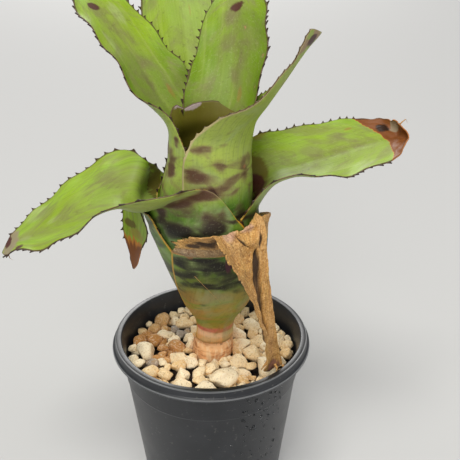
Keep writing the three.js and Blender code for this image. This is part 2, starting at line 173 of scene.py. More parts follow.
# The plant's form, as the solids have it: radius of the tank and tube by height, its lean, and the
# heights at which a sheath has rows.
tank = [
    [88, 12], [104, 11.8], [113, 11.8], [117, 12.6], [120, 14.2], [124, 16.8], [127, 18.9],
    [134, 22.3], [141, 25.2], [148, 27.6], [158, 30.6], [167, 32.6], [177, 34.4], [186, 35.6],
    [200, 36.4], [260, 36.6],
]
tube = [
    [80, 99], [150, 99], [178, 30.5], [190, 28.2], [200, 25.8], [208, 24.2], [216, 23.2],
    [227, 22.8], [236, 23.4], [246, 25.5], [260, 28],
]
leanTable = [
    [84, 0], [95, 0.9], [115, 2.2], [127, 3], [140, 2.8], [158, 1.6], [168, 0.2], [178, -1.6],
    [192, -3], [205, -1.5], [216, -0.3], [230, 0],
]
levels = [104, 112, 118, 124, 130, 138, 148, 160, 174, 188, 202, 216]

sheathForm = {
    "skin": 0.4,          # mm that the outermost sheath lies inside the tank's outline
    "gap": 1.15,          # mm from one layer to the next in
    "spread": 0.028,      # how much that grows with the tank's radius past a narrow neck
    "neck": 14,
    "tubeLayer": 5,       # the first layer that stands up as the tube
    "tubeGap": 1.35,
}
leafForm = {
    "thickness": 0.7,
    "sheathRow": 2.2,     # mm between rows on the sheath
    "wave": 1.35,         # mm that the margins rise and fall
    "waveLength": 26,
    "waveFrom": 0.55,     # the share of the half width where the waves begin
    "waveEnd": 25,        # mm over which they die out towards the tip
    "midrib": 3.2,        # half width in mm of the shallow groove along the middle
    "swell": 0.45,        # mm of slow unevenness, and its length across and along
    "swellSize": (15, 22),
    "crumples": [(8, 1.0), (3.6, 0.4), (1.8, 0.22)],     # sizes in mm and shares, on dry paper
    "wobble": 0.035,      # how far the margins wander in and out, as a share of the half width
    "tears": [(2.2, 1.5, 0.1), (0.9, 6.5, 0.06)],        # length in mm, seed and share where torn
    "markEdge": (0.35, 1.3),      # where a mark begins to fade and where it ends, in its own size
    "patchEdge": (0.35, 1.8),
    "pressEdge": (0.2, 1.2),
    "foldEdge": (0.8, 1.05),
    "paperFrom": 0.08,            # how far onto its blade the dead leaf turns to paper
    "ownPattern": 0.37,           # how far apart two leaves lie in the patterns
}
toothForm = {
    "spacing": 4.1,
    "length": 1.9,
    "lean": 0.9,          # how far a tooth hooks towards the tip
    "below": 4,           # mm down from the sheath's top to the first tooth
    "steps": [(0.42, 0.42, 0.6), (0.58, 0.12, 1.0)],     # share of the length, width, how dark
    "bare": 6,            # rows at the tip that bear none
}

# What a leaf has where its own entry says nothing else.
usualLeaf = {
    "slot": "green_leaf",
    "columns": 64, "row": 1.15,       # faces across, and mm between rows on the blade
    "ends": [(0.55, 0.62), (1.0, 0.1)],       # a point: shares of the tip's length and the width
    "sheathTrim": [[0, 0]],
    "toothSize": 1, "toothTone": 1, "strawRim": 0.2,
    "ragged": 1,                      # mm from the tip where the margin is torn
    "groove": 0.5, "crumple": 0, "tatter": 0,
    "patches": [], "press": [], "grooves": [],
}

# Blade rows are outward, height, sideways, half width, cup radius, roll, and a trim of one margin.
# Marks are (along from the sheath's top, across, half length, half width) in mm on the leaf. A
# press mark has its depth after them, and a groove is its depth and a path of along, across and
# half width. Patches are (x, y, z, half width, half height, slant) in mm in space, and perhaps a
# strength under 1: the blurred dark bands on the outside.
# The dusk marks are painted shade: shadow under the leaves above, dark hollows, folds and creases. Over
# the heart leaf they also give the leaf its own olive-brown tone.
leaves = {
    "leaf_hanging_left": {
        "azimuth": 151, "layer": 1, "foot": 107, "top": 184,
        "wrap": [[107, 130], [145, 96], [173, 83], [184, 72]],
        "blade": [
            [37.1, 187, 1, 34, 35, 0, -0.4], [39.5, 190.3, 0.5, 25.5, 38.1, -11, -0.45],
            [48.3, 192, 0.1, 17.7, 44.3, -26, -0.29], [50.6, 186.8, -0.4, 14.5, 44.7, -51, -0.07],
            [51.3, 174.7, -3, 14.9, 41.1, -65], [52.6, 162.4, -1.2, 14.8, 37.1, -63],
            [53.1, 151.8, 1.4, 11.3, 23.9, -62], [53.4, 144.3, 4.9, 6.3, 24, -59],
        ],
        "tip": 7, "wave": 0.8, "ragged": 14,
        "patches": [(-31, -11, 176, 1.7, 3.6, 0), (-27, -17, 160, 2, 5, 0)],
        "paper": [(73, 0, 17, 30)],
        "blush": [(54, 0, 4, 12)],
        "paintedShade": [(36, -5, 6, 10), (49, -8, 3, 7), (-3, 8.5, 5, 3)],
    },
    "leaf_left": {
        "azimuth": 187, "layer": 2, "foot": 110, "top": 188,
        "wrap": [[110, 150], [160, 140], [174, 130], [188, 124]],
        "sheathTrim": [[160, 0], [188, -0.3]],
        "blade": [
            [34, 191.8, 0, 52.9, 31.9, 9, -0.3], [40.3, 196.3, 0.5, 46.4, 28.1, -19, -0.47],
            [47.6, 197.9, 0.5, 37.8, 46.1, -9, -0.13], [56, 196.2, 0.4, 30.3, 52, -11],
            [68, 191.1, -0.1, 24.9, 62, -16], [82, 182.9, -1.8, 20.8, 80, -17],
            [95, 176.1, -3.4, 17.7, 70, -12], [107, 171.6, -4.2, 11.4, 50, -8],
            [113, 167, -5.5, 7.5, 30, -10],
        ],
        "tip": 6, "wave": 0.8,
        "patches": [
            (-1, -28, 208, 7, 3.6, -0.2), (-12, -27, 201, 5.6, 4.6, 0),
            (3, -29, 196, 8, 2, -0.1), (-20, -29, 202, 3.4, 6, 0), (4, -30, 189, 6, 3, 0.2),
            (-17, -28, 187, 7, 4, 0), (-14, -35, 211, 4, 2.4, 0), (-25, -22, 197, 2.4, 6, 0),
            (-6, -28, 206, 4, 2.4, 0), (-9, -33, 193, 4, 1.6, 0.2, 0.7), (-3, -33, 184, 5, 1.8, 0),
        ],
        "clouds": [(26, -15, 8, 8), (20, -8, 7, 5), (36, -11, 6, 5), (64, -11, 10, 5), (50, 0, 11, 8)],
        "dry": [(91, 0, 9, 16)],
        # pale patches: whitish scurf, and painted highlight where the leaf bends
        "scurfAndSheen": [(72, -14, 12, 6), (60, -3, 8, 3), (80, 2, 6, 5)],
        "stain": [(82, 11, 3, 4), (94, -5, 4, 6)],
        "paintedShade": [(2, -27, 8, 9), (3, 12.5, 3.5, 4)],
        "grooves": [(0.6, [[-4, -14, 2.5], [4, -20, 3], [10, -25, 3], [15, -30, 2.5]])],
    },
    "leaf_right": {
        "azimuth": 20, "layer": 3, "foot": 112, "top": 190,
        "wrap": [[112, 150], [150, 130], [175, 92], [190, 70]],
        "blade": [
            [36.5, 200, 1, 34, 37, 0], [43, 204, 0, 32, 40, 3], [54, 206, 0, 30, 50, 9],
            [73, 209, 0, 28, 80, 13], [93, 213, -1, 25, 88, 14], [110, 215, -1, 20, 60, 12],
            [119, 216, -2, 12, 30, 9],
        ],
        "tip": 9, "wave": 0.6,
        "patches": [(18, -26, 199, 2.6, 4.5, 0), (15, -28, 190, 3, 3, 0)],
        "clouds": [(61, 13, 7, 5), (74, 2, 9, 8), (58, 0, 7, 5), (25, 8, 9, 5), (40, 1, 8, 5)],
        "blush": [(70.6, 16.3, 3.6, 1.3), (22, 31, 4, 3)],
        "paintedShade": [(11, 12, 7, 20), (90, 10.5, 4.5, 4.5)],
        "stain": [(6, 4, 7, 14), (-1, -6, 8, 12)],
        "dry": [(97.5, 8, 5, 4.5)],
        "curl": {
            "line": [[-30, 72], [-18, 82.5], [-4, 88], [6, 86.5], [14, 83], [21, 79.5], [30, 72]],
            "after": 7, "radius": 4, "most": 2.2, "crease": 1.4, "uneven": 0.25,
        },
    },
    "leaf_upper_back": {
        "azimuth": 104, "layer": 4, "foot": 116, "top": 188,
        "wrap": [[116, 150], [160, 120], [174, 85], [188, 62]],
        "blade": [
            [30.5, 202, 0, 30, 33, 0, 0.3], [34, 220, 0, 24, 38, 0, 0.4],
            [45, 244, 0, 23.5, 50, 0, 0.2], [62, 268, 0, 24, 60, 0], [79, 290, 0, 23, 60, 0],
            [92, 302, 0, 16, 50, 0], [99, 307, 0, 7, 30, 0],
        ],
        "tip": 6, "wave": 0.6,
        "blush": [(107, -5.4, 6, 0.9)],
    },
    "leaf_front_channelled": {
        "azimuth": -25, "layer": 5, "foot": 120, "top": 224,
        "wrap": [[120, 150], [188, 106], [204, 92], [216, 99], [224, 96]],
        "blade": [
            [23, 231, 2, 34, 22.5, 0], [25.5, 240, 3, 27, 24, 5, 0.1],
            [32, 250, 4, 19, 30, 9, 0.2], [39, 261, 6, 14, 32, 10, 0.15],
            [44.5, 271, 10, 8, 24, 9], [49, 278, 12, 9.5, 20, 4],
            [52, 282.5, 15, 12, 24, 0],
        ],
        "tip": 4, "wave": 0.3, "toothSize": 0.5, "toothTone": 0.3, "ragged": 18, "strawRim": 0.7,
        "patches": [
            (-7, -23, 216, 6.5, 3.2, -0.1), (-3, -22, 229, 6, 2, 0.05, 0.9),
            (6, -22, 221, 3.1, 2.8, -0.3, 0.7), (12, -20, 212, 7, 2.6, 0.65, 0.55),
            (3, -24, 208, 5, 2, -0.1, 0.8), (18, -14, 216, 2.6, 4, 0, 0.5),
            (16, -17, 194, 4, 5.3, 0, 0.75), (22, -10, 200, 2.2, 4.8, 0, 0.6),
            (8, -20, 231, 4, 1.4, 0.2, 0.8), (10, -20, 238, 5, 1.4, 0.4, 0.7),
            (14, -18, 205, 4, 2, 0.5, 0.6),
        ],
        "stain": [(66.5, -4, 4.5, 5)],
        "dry": [(62, -8, 4, 5), (70, -4, 3, 7)],
        "blush": [(-2, 2, 1.4, 1.4), (-6.3, -4, 1.4, 1.4)],
    },
    "leaf_upper_left": {
        "azimuth": 144, "layer": 6, "foot": 122, "top": 224,
        "wrap": [[122, 150], [188, 130], [210, 112], [224, 98]],
        "blade": [
            [22.6, 233, -1, 32, 23.5, 3, -0.14], [31.9, 243.7, 0.4, 28.4, 37, 5, -0.1],
            [41.3, 256, 1.1, 27.1, 50, 5], [53.4, 269, 0.6, 24.8, 60, 7],
            [67.6, 282.4, 0, 21.2, 60, 0], [79.8, 292.3, 0.3, 15.2, 47, -2],
            [87, 296.9, 0.6, 7.4, 30, 0],
        ],
        "tip": 6, "wave": 0.9,
        "patches": [
            (-19, -11, 217, 3.2, 7.5, -0.2), (-21, -3, 223, 1.9, 5.3, 0), (-16, -14, 232, 1.8, 3.4, 0),
        ],
        "clouds": [(74, 2, 7, 6), (64, -2.5, 8, 6), (47, -3.3, 8, 5), (36, 0.7, 8, 6), (84, 4, 7, 7)],
        "deep": [(28, 0, 30, 40)],
        "scurfAndSheen": [(80, -8, 9, 5), (60, 12, 12, 4)],
        "stain": [(88, 2.8, 4, 5)],
        "blush": [(26, -9.6, 7, 2.4)],
    },
    "leaf_upper_right": {
        "azimuth": 69, "layer": 7, "foot": 126, "top": 224,
        "wrap": [[126, 150], [188, 130], [212, 110], [224, 94]],
        "blade": [
            [20.6, 236, -2, 28.5, 19, 0], [26, 248, -3, 26, 25, -5], [35, 262, -1.5, 24.5, 42, -12],
            [46, 275, 2, 22, 60, -14], [56, 286, 5, 19, 53, -12], [64, 292.5, 6.5, 13, 40, -9],
            [68, 296, 6, 6.5, 30, -4],
        ],
        "tip": 6, "wave": 0.7,
        "clouds": [(46.5, -5.4, 9, 7), (68, 2.6, 9, 8), (35, -1, 8, 5), (56, 4, 8, 5)],
        "deep": [(30, 0, 55, 60)],
        "stain": [(78, 0, 4.5, 6)],
        "blush": [(23.7, -5.9, 6.5, 2.2)],
    },
    "leaf_heart": {
        "azimuth": 112, "layer": 8, "foot": 130, "top": 224,
        "wrap": [[130, 150], [188, 140], [212, 112], [224, 96]],
        "blade": [
            [15.4, 233, 0, 27, 18, 0, -0.06], [15.8, 239, 0, 24, 22, 0, -0.1],
            [16.6, 243.5, 0, 18, 28, 0, -0.35],
        ],
        "tip": 0.5, "ends": [(1.0, 0.98)], "slot": "heart_leaf",
        "wave": 0.3, "toothSize": 0.45,
        "lobes": [[-18, 2.5], [-13, 0.9], [-8, 0], [-1, 0.2], [3, 0.8], [6, 1.8], [8.5, 2.6], [11, 1.2],
                  [13.5, 0], [16, 0.6], [18, 2.2]],
        "paintedShade": [(-10, 0, 90, 90)],
        "lilac": [(21.5, 12.5, 3.2, 6), (20.5, 3, 3, 7)],
    },
    "leaf_dead_front": {
        "azimuth": -46, "layer": 0, "foot": 104, "top": 176,
        "wrap": [[104, 110], [144, 96], [161, 87], [176, 77]],
        "blade": [
            [38.6, 188.9, -10.4, 26.4, 37.1, -8, 0.25], [41.1, 192.7, -11.1, 18.7, 38.5, 10, 0.3],
            [43.7, 188.5, -11.2, 21.5, 25.6, 13, 0.45], [45.1, 178.7, -11.5, 19.4, 22.1, 7, 0.48],
            [45.2, 166.8, -11.3, 11.7, 13, 4, 0.22], [45.9, 153.4, -9.6, 7.9, 9.5, 1, 0.05],
            [46.4, 138.7, -6.5, 5.8, 7, -1], [46.2, 122.4, -1.2, 4.1, 6, 4],
            [44.9, 109, 3.1, 5.1, 7, 9], [45, 102.2, 2.7, 7.1, 12, 6],
        ],
        "tip": 3, "piece": "dead_leaf", "slot": "dry_leaf", "columns": 88, "row": 0.8,
        "wave": 0.5, "toothSize": 0, "groove": 0, "crumple": 1.1, "ragged": 300, "tatter": 1.7,
        "patches": [
            (0, -33, 170, 9, 3, -0.25, 0.9), (-14, -29, 169, 4.3, 2.1, 0, 0.8),
            (1, -29, 154, 15.2, 1.6, 0.02, 0.8), (12, -28, 157, 5.4, 2.6, 0.2, 0.55),
            (-1, -32, 164, 2.1, 3.6, 0, 0.4), (-14, -24, 152, 3.3, 1.8, -0.1, 0.7),
            (-8, -21, 139, 9.6, 1.5, 0, 0.4), (7, -31, 166, 4.8, 3, -0.4, 0.8),
        ],
        "press": [
            (11, -22, 4, 16, 1.6), (1.5, -28, 2.6, 22, -1.5), (20, -20, 2.5, 14, -1.0),
            (-5, -26, 3.5, 16, 0.8), (25, 6, 3, 8, -1.2), (30, 3, 3, 4, 1.4),
        ],
        "grooves": [
            (2.4, [[35, 4.6, 1.2], [42, 3, 3.2], [55, 1.2, 3], [70, -0.4, 2.1], [84, -1.8, 1.5],
                   [95, -2, 0.9]]),
            (1.3, [[24, -5.6, 0.8], [28, -3.8, 1.5], [31, -1.6, 1.4], [33, 1.5, 0.8]]),
            (1.3, [[27, 8.4, 0.8], [30, 8, 1.4], [34, 6.6, 0.9]]),
        ],
        "fold": (24, 2.6, 6.5, 6, 1.5),
        "lip": [(1.2, -30, 5, 18), (1.5, -13, 4.6, 9)],
        "paintedShade": [(12, -12, 6.6, 8), (11, -21, 4.8, 8), (8, -29, 2, 5)],
        "stain": [(117, 1, 7, 6), (-7, -14, 8, 3)],
        "blush": [(22, -9, 5, 6), (21, 3, 5, 5), (0, -35, 5, 5)],
    },
}


# A sheath's distance from the axis: layer by layer inside the tank, and inside the tube further in.
def sheathRadius(layer, z):
    outer = alongTable(tank, z)
    gap = sheathForm["gap"] + sheathForm["spread"] * max(0, outer - sheathForm["neck"])
    radius = outer - sheathForm["skin"] - layer * gap
    inner = layer - sheathForm["tubeLayer"]
    return radius if inner < 0 else min(radius, alongTable(tube, z) - inner * sheathForm["tubeGap"])


# Rows of outward, height, sideways, half width, curvature, roll, share of sheath, trim.
def leafRows(leaf):
    foot, top = leaf["foot"], leaf["top"]
    rows = []
    for z in [foot] + [z for z in levels if foot + 1 < z < top - 9] + [top - 7, top]:
        radius = sheathRadius(leaf["layer"], z)
        angle = math.radians(alongTable(leaf["wrap"], z))
        trim = alongTable(leaf["sheathTrim"], z)
        rows.append([radius, z, 0, angle * radius, 1 / radius, 0, 1, trim])
    sheathRows = len(rows)
    for i, (out, z, side, half, cup, roll, *trim) in enumerate(leaf["blade"]):
        share = [0.5, 0.15][i] if i < 2 else 0
        rows.append([out, z, side, half, 1 / cup, math.radians(roll), share, sum(trim)])
    last, before = rows[-1], rows[-2]
    reach = Vector([last[i] - before[i] for i in (0, 1, 2)]).normalized() * leaf["tip"]
    for part, width in leaf["ends"]:
        place = [last[i] + reach[i] * part for i in (0, 1, 2)]
        rows.append([*place, last[3] * width, *last[4:]])
    return rows, sheathRows


def mixRows(a, b, t, t0, t1):
    w = (t - t0) / (t1 - t0)
    return [p + (q - p) * w for p, q in zip(a, b)]


# A smooth curve through the rows, whole numbers of u being the rows themselves.
def rowSpline(rows):
    before = [2 * p - q for p, q in zip(rows[0], rows[1])]
    after = [2 * p - q for p, q in zip(rows[-1], rows[-2])]
    everyRow = [before, *rows, after]
    knots = [0]
    for a, b in zip(everyRow, everyRow[1:]):
        knots.append(knots[-1] + math.sqrt(max(math.dist(a[:3], b[:3]), 0.5)))

    def rowAt(u):
        i = min(max(math.floor(u), 0), len(rows) - 2)
        p0, p1, p2, p3 = everyRow[i:i + 4]
        t0, t1, t2, t3 = knots[i:i + 4]
        t = t1 + (t2 - t1) * (u - i)
        a1 = mixRows(p0, p1, t, t0, t1)
        a2 = mixRows(p1, p2, t, t1, t2)
        a3 = mixRows(p2, p3, t, t2, t3)
        return mixRows(mixRows(a1, a2, t, t0, t2), mixRows(a2, a3, t, t1, t3), t, t1, t2)
    return rowAt


# The frame of one cross row: its middle, its side, inward and onward directions, its numbers.
def crossFrame(leaf, rowAt, u):
    azimuth = math.radians(leaf["azimuth"])
    outward = Vector((math.cos(azimuth), math.sin(azimuth), 0))
    sideways = Vector((-math.sin(azimuth), math.cos(azimuth), 0))

    def spine(row):
        return outward * row[0] + sideways * row[2] + Vector((0, 0, row[1]))
    row = rowAt(u)
    half, curvature, roll, share, trim = row[3:]
    ahead = (spine(rowAt(u + 0.002)) - spine(rowAt(u - 0.002))).normalized()
    across = (sideways + ahead * ((share - 1) * sideways.dot(ahead))).normalized()
    up = ahead.cross(across)
    side = across * math.cos(roll) + up * math.sin(roll)
    inner = (up * math.cos(roll) - across * math.sin(roll)) * (1 - share) - outward * share
    inner = (inner - side * inner.dot(side)).normalized()
    return {"middle": spine(row), "side": side, "inner": inner, "ahead": ahead, "half": half,
            "curvature": curvature, "trim": trim}


def acrossAt(row, v):
    return v * row["half"] * (1 - max(0, math.copysign(1, v) * row["trim"]))


def crossPoint(row, v):
    theta = acrossAt(row, v) * row["curvature"]
    point = row["middle"] + row["side"] * (math.sin(theta) / row["curvature"])
    point += row["inner"] * ((1 - math.cos(theta)) / row["curvature"])
    point.x += alongTable(leanTable, point.z)
    return point


# Values of u with the rows a given distance apart, and the length from the foot to each.
def rowStations(rowAt, count, sheathRows, bladeRow):
    fine = [i / 12 for i in range((count - 1) * 12 + 1)]
    lengths = [0.0]
    for a, b in zip(fine, fine[1:]):
        lengths.append(lengths[-1] + math.dist(rowAt(a)[:3], rowAt(b)[:3]))
    atTop = lengths[(sheathRows - 1) * 12]
    low = max(2, round(atTop / leafForm["sheathRow"]))
    high = max(2, round((lengths[-1] - atTop) / bladeRow))
    wanted = [atTop * i / low for i in range(low)]
    wanted += [atTop + (lengths[-1] - atTop) * i / high for i in range(high + 1)]
    table = list(zip(lengths, fine))
    return [(alongTable(table, s), s) for s in wanted], atTop


# How far a place on the leaf is from a mark's centre, in parts of its half length and half width.
def markReach(mark, along, across):
    return math.hypot((along - mark[0]) / mark[2], (across - mark[1]) / mark[3])


def markStrength(marks, along, across):
    edge = leafForm["markEdge"]
    return max([0.0] + [1 - smoothStep(*edge, markReach(mark, along, across)) for mark in marks])


def patchStrength(patches, point):
    strongest = 0.0
    for x, y, z, wide, tall, slant, *force in patches:
        level = (point.z - z - slant * (point.x - x)) / tall
        d = math.hypot((point.x - x) / wide, (point.y - y) / wide, level)
        strongest = max(strongest, (force or [1])[0] * (1 - smoothStep(*leafForm["patchEdge"], d)))
    return strongest


# How near a place is to a path drawn on the leaf, from 1 on it to 0 past its half width.
def pathStrength(path, along, across):
    ends = smoothStep(path[0][0] - 2, path[0][0] + 2, along)
    ends *= 1 - smoothStep(path[-1][0] - 2, path[-1][0] + 2, along)
    middle = alongTable([(step, centre) for step, centre, _ in path], along)
    wide = alongTable([(step, half) for step, _, half in path], along)
    return ends * (1 - smoothStep(0.3, 1.0, abs(across - middle) / wide))


# How far a place on the leaf rises or falls along its normal, in mm.
def leafRelief(leaf, number, v, along, across, toTip, onBlade):
    rim = smoothStep(leafForm["waveFrom"], 1.0, abs(v))
    phase = 2.1 * number + (1.7 if v < 0 else 0)
    fade = smoothStep(0, leafForm["waveEnd"], toTip)
    swell = math.sin(2 * math.pi * along / leafForm["waveLength"] + phase)
    swell += 0.8 * ripple(along / 17, 3.1 * number + v * 0.6, 0)
    rise = leaf["wave"] * leafForm["wave"] * rim * swell * fade
    rise += leaf["groove"] * (math.exp(-(across / leafForm["midrib"]) ** 2) - 0.4) * fade
    wide, long = leafForm["swellSize"]
    rise += leafForm["swell"] * ripple(across / wide, along / long, number * 5.0)
    for size, share in leafForm["crumples"]:
        rise += share * leaf["crumple"] * ripple(across / size, along / size, size)
    rise *= onBlade
    for depth, path in leaf["grooves"]:
        rise += depth * pathStrength(path, along, across)
    for *mark, depth in leaf["press"]:
        rise -= depth * (1 - smoothStep(*leafForm["pressEdge"], markReach(mark, along, across)))
    if "fold" in leaf:                       # a flap of the paper turned over and lying on it
        *mark, lift = leaf["fold"]
        rise += lift * (1 - smoothStep(*leafForm["foldEdge"], markReach(mark, along, across)))
    return rise


# How far the margin strays in and out, as a share of the half width, and more where it is torn.
def marginStray(leaf, number, v, along, s, toTip):
    stray = leafForm["wobble"] * ripple(s / 8, 7.3 * number + v, 0)
    torn = smoothStep(leaf["ragged"], leaf["ragged"] * 0.3, toTip)
    if leaf["tatter"]:                       # torn most at the left of its top
        torn *= 0.35 + leaf["tatter"] * (v < 0) * (1 - smoothStep(45, 60, along))
    for length, seed, share in leafForm["tears"]:
        stray += share * torn * ripple(s / length, 3.3 * v, seed)
    return stray


# A dried end that curls over past a line drawn across the leaf.
def curledPoint(curl, row, point, beyond, across):
    crease = curl["crease"] * smoothStep(0, 4, beyond)
    point = point + row["inner"] * (crease * ripple(across / 4, beyond / 4, 7.7))
    beyond -= curl["after"]
    if beyond <= 0:
        return point
    radius = curl["radius"] * (1 + curl["uneven"] * ripple(across / 6, 4.4, 0))
    turn = min(beyond / radius, curl["most"])
    left = beyond - turn * radius
    point -= row["ahead"] * (beyond - radius * math.sin(turn) - left * math.cos(turn))
    point += row["inner"] * (radius * (1 - math.cos(turn)) + left * math.sin(turn))
    return point


measures = ("edge", "blade", "foot", "patch", "tooth", "straw")
# Among these, dusk holds painted shade.
markNames = ("stain", "dry", "blush", "clouds", "paintedShade", "lilac", "lip", "paper", "deep", "scurfAndSheen")


# The leaf as a grid: rows along it, columns across, and measures and marks kept on each point.
def leafMesh(leaf, number):
    rows, sheathRows = leafRows(leaf)
    rowAt = rowSpline(rows)
    stations, atTop = rowStations(rowAt, len(rows), sheathRows, leaf["row"])
    cross = [crossFrame(leaf, rowAt, u) for u, _ in stations]
    columns, last, total = leaf["columns"], len(stations) - 1, stations[-1][1]
    bm = bmesh.new()
    bmesh.ops.create_grid(bm, x_segments=columns, y_segments=last, size=1)
    layers = {name: bm.verts.layers.float.new(name) for name in measures + markNames}
    placeLayer = bm.verts.layers.float_vector.new("leafPlace")
    grid = {}
    for vert in bm.verts:
        grid[round((vert.co.x + 1) / 2 * columns), round((vert.co.y + 1) / 2 * last)] = vert
    for (j, i), vert in grid.items():
        row, s = cross[i], stations[i][1]
        v = 2 * j / columns - 1
        onBlade = smoothStep(atTop - 6, atTop + 14, s)
        along, toTip = s - atTop, total - s
        v *= 1 + marginStray(leaf, number, v, along, s, toTip) * onBlade * abs(v) ** 3
        across = acrossAt(row, v)
        ahead, back = cross[min(i + 1, last)], cross[max(i - 1, 0)]
        alongWay = crossPoint(ahead, v) - crossPoint(back, v)
        overWay = crossPoint(row, v + 0.02) - crossPoint(row, v - 0.02)
        normal = overWay.cross(alongWay).normalized()
        point = crossPoint(row, v)
        point += normal * leafRelief(leaf, number, v, along, across, toTip, onBlade)
        curled = 0.0
        if "curl" in leaf:
            beyond = along - alongTable(leaf["curl"]["line"], across)
            point = curledPoint(leaf["curl"], row, point, beyond, across)
            curled = smoothStep(-0.6, 0.6, beyond)
        if "lobes" in leaf:                  # how far the end is cut back from lobe to lobe
            point -= row["ahead"] * (alongTable(leaf["lobes"], across) * (1 - smoothStep(0, 11, toTip)))
        vert.co = point
        vert[layers["edge"]] = min((1 - abs(v)) * row["half"], toTip)
        vert[layers["blade"]] = onBlade
        vert[layers["foot"]] = s
        vert[layers["patch"]] = patchStrength(leaf["patches"], point)
        for name in markNames:
            vert[layers[name]] = markStrength(leaf.get(name, []), along, across)
        # grooves also get painted shade in their creases
        for _, path in leaf["grooves"]:
            vert[layers["paintedShade"]] = max(vert[layers["paintedShade"]], pathStrength(path, along, across))
        vert[layers["paper"]] = max(vert[layers["paper"]], curled)
        vert[layers["straw"]] = 1 - onBlade * (1 - leaf["strawRim"])
        vert[placeLayer] = (across / 1000, 0, number * leafForm["ownPattern"])
    for j in range(columns + 1):              # the length along each column, for the patterns
        travelled = 0.0
        for i in range(1, last + 1):
            travelled += (grid[j, i].co - grid[j, i - 1].co).length
            grid[j, i][placeLayer] = grid[j, i][placeLayer] + Vector((0, travelled / 1000, 0))
    if leaf["toothSize"] > 0:
        growTeeth(bm, grid, leaf, number, stations, atTop)
    return bm


# Teeth: two edges of the margin are drawn out to a hooked point every few millimetres.
def growTeeth(bm, grid, leaf, number, stations, atTop):
    chance = seededRandom(900 + number)
    toothLayer, paperLayer = [bm.verts.layers.float[name] for name in ("tooth", "paper")]
    size = leaf["toothSize"]
    for j in (0, leaf["columns"]):
        due = atTop - toothForm["below"]
        for i in range(len(stations) - toothForm["bare"]):
            s = stations[i][1]
            if s < due or grid[j, i][paperLayer] > 0.4:
                continue
            due = s + toothForm["spacing"] * (0.75 + 0.5 * next(chance)) * (0.5 + 0.5 * size)
            line = [grid[j, i + k] for k in range(3)]
            edges = [bm.edges.get(pair) for pair in zip(line, line[1:])]
            ahead = (line[2].co - line[0].co).normalized()
            out = line[1].co - edges[0].link_faces[0].calc_center_median()
            out = (out - ahead * out.dot(ahead)).normalized()
            length = toothForm["length"] * size * (0.75 + 0.45 * next(chance))
            lean = toothForm["lean"] * size
            for reach, width, dark in toothForm["steps"]:
                grown = bmesh.ops.extrude_edge_only(bm, edges=edges)["geom"]
                points = [g for g in grown if isinstance(g, bmesh.types.BMVert)]
                edges = [g for g in grown if isinstance(g, bmesh.types.BMEdge)
                         and all(end in points for end in g.verts)]
                centre = sum((p.co for p in points), Vector()) / len(points)
                for point in points:
                    point.co = centre + (point.co - centre) * width
                    point.co += out * (length * reach) + ahead * (lean * reach)
                    point[toothLayer] = dark * leaf["toothTone"]


# Living leaf with a waxy cuticle, upper face: satin yellow-green with lengthwise veins, greyish
# purple clouds, and small rusty scars, with painted shade in hollows and under other leaves, and pale
# patches that are partly painted highlight. The eye sees a soft broad gloss.
def waxyLeafUpper():
    material, shader = newMaterial("waxyLeafUpper")
    p = leafPatterns(material, ("foot", "edge", "tooth", "blade", "paper"))
    rim = node(material, "MapRange", (p["edge"], 0.8, 0.3, 0, 1))
    rim = node(material, "Math", (rim, p["blade"]), operation="MULTIPLY")
    # colour of the painted shade: dark olive, and near black-brown where the leaf has gone to paper
    paintedShadeColour = layCoats(material, "#665a1c", [(p["paper"], 0.4, 0.8, 1.0, "#1f140c")])
    bloom = node(material, "Math", (p["edge"], 0.03, p["haze"]), operation="MULTIPLY_ADD")
    paper = ("paper", p["clouds"])
    colour = layCoats(material, "#7a9612", [
        (p["foot"], 70, 118, 1.0, "#8aa71c"),
        (p["drift"], 0.4, 0.62, 0.9, "#9abb40"),
        (("deep", p["drift"], 0.5), 0.45, 0.9, 0.85, "#66860c"),
        (bloom, 0.62, 1.0, 0.4, "#8a964a"),
        # pale patches: whitish scurf, and painted highlight where the leaf bends
        (("scurfAndSheen", p["streaks"], 0.4), 0.6, 0.95, 0.35, "#b3bc8c"),
        (p["streaks"], 0.45, 0.8, 0.2, "#b4c05c"),
        (p["veins"], 0.45, 0.75, 0.3, "#6f801a"),
        (p["haze"], 0.44, 0.7, 0.46, "#7f7950"),
        (("clouds", p["clouds"], 0.2), 0.48, 0.85, 0.55, "#736449"),
        (p["flecks"], 0.6, 0.74, 0.3, "#5a5a26"),
        (p["scales"], 0.55, 0.72, 0.25, "#a9b07a"),
        (("blush", p["clouds"], 0.5), 0.66, 1.0, 0.5, "#9d7138"),
        (paper, 0.7, 0.76, 1.0, "#c07c30"),
        (paper, 0.8, 0.95, 0.95, "#7a4620"),
        # painted shade and shadow; on the heart leaf also its own olive-brown tone
        (("paintedShade", p["clouds"]), 0.7, 1.0, 0.92, paintedShadeColour),
        (("lilac", p["clouds"]), 0.66, 0.96, 0.9, "#b3a0a2"),
        (("dry", p["clouds"]), 0.74, 0.98, 0.9, "#93836a"),
        (("stain", p["clouds"]), 0.74, 1.0, 0.95, "#4d2320"),
        (rim, 0.2, 0.9, 0.8, "#4c3a22"),
        (p["tooth"], 0.05, 0.4, 1.0, "#3a2416"),
    ])
    finishShader(material, shader, colour, p["clouds"], (0.44, 0.6),
                 [(p["veins"], 0.6), (p["flecks"], 0.25)], 0.35, 0.0004)
    fill(shader, {"IOR": 1.45, "Specular IOR Level": 0.32})
    return material


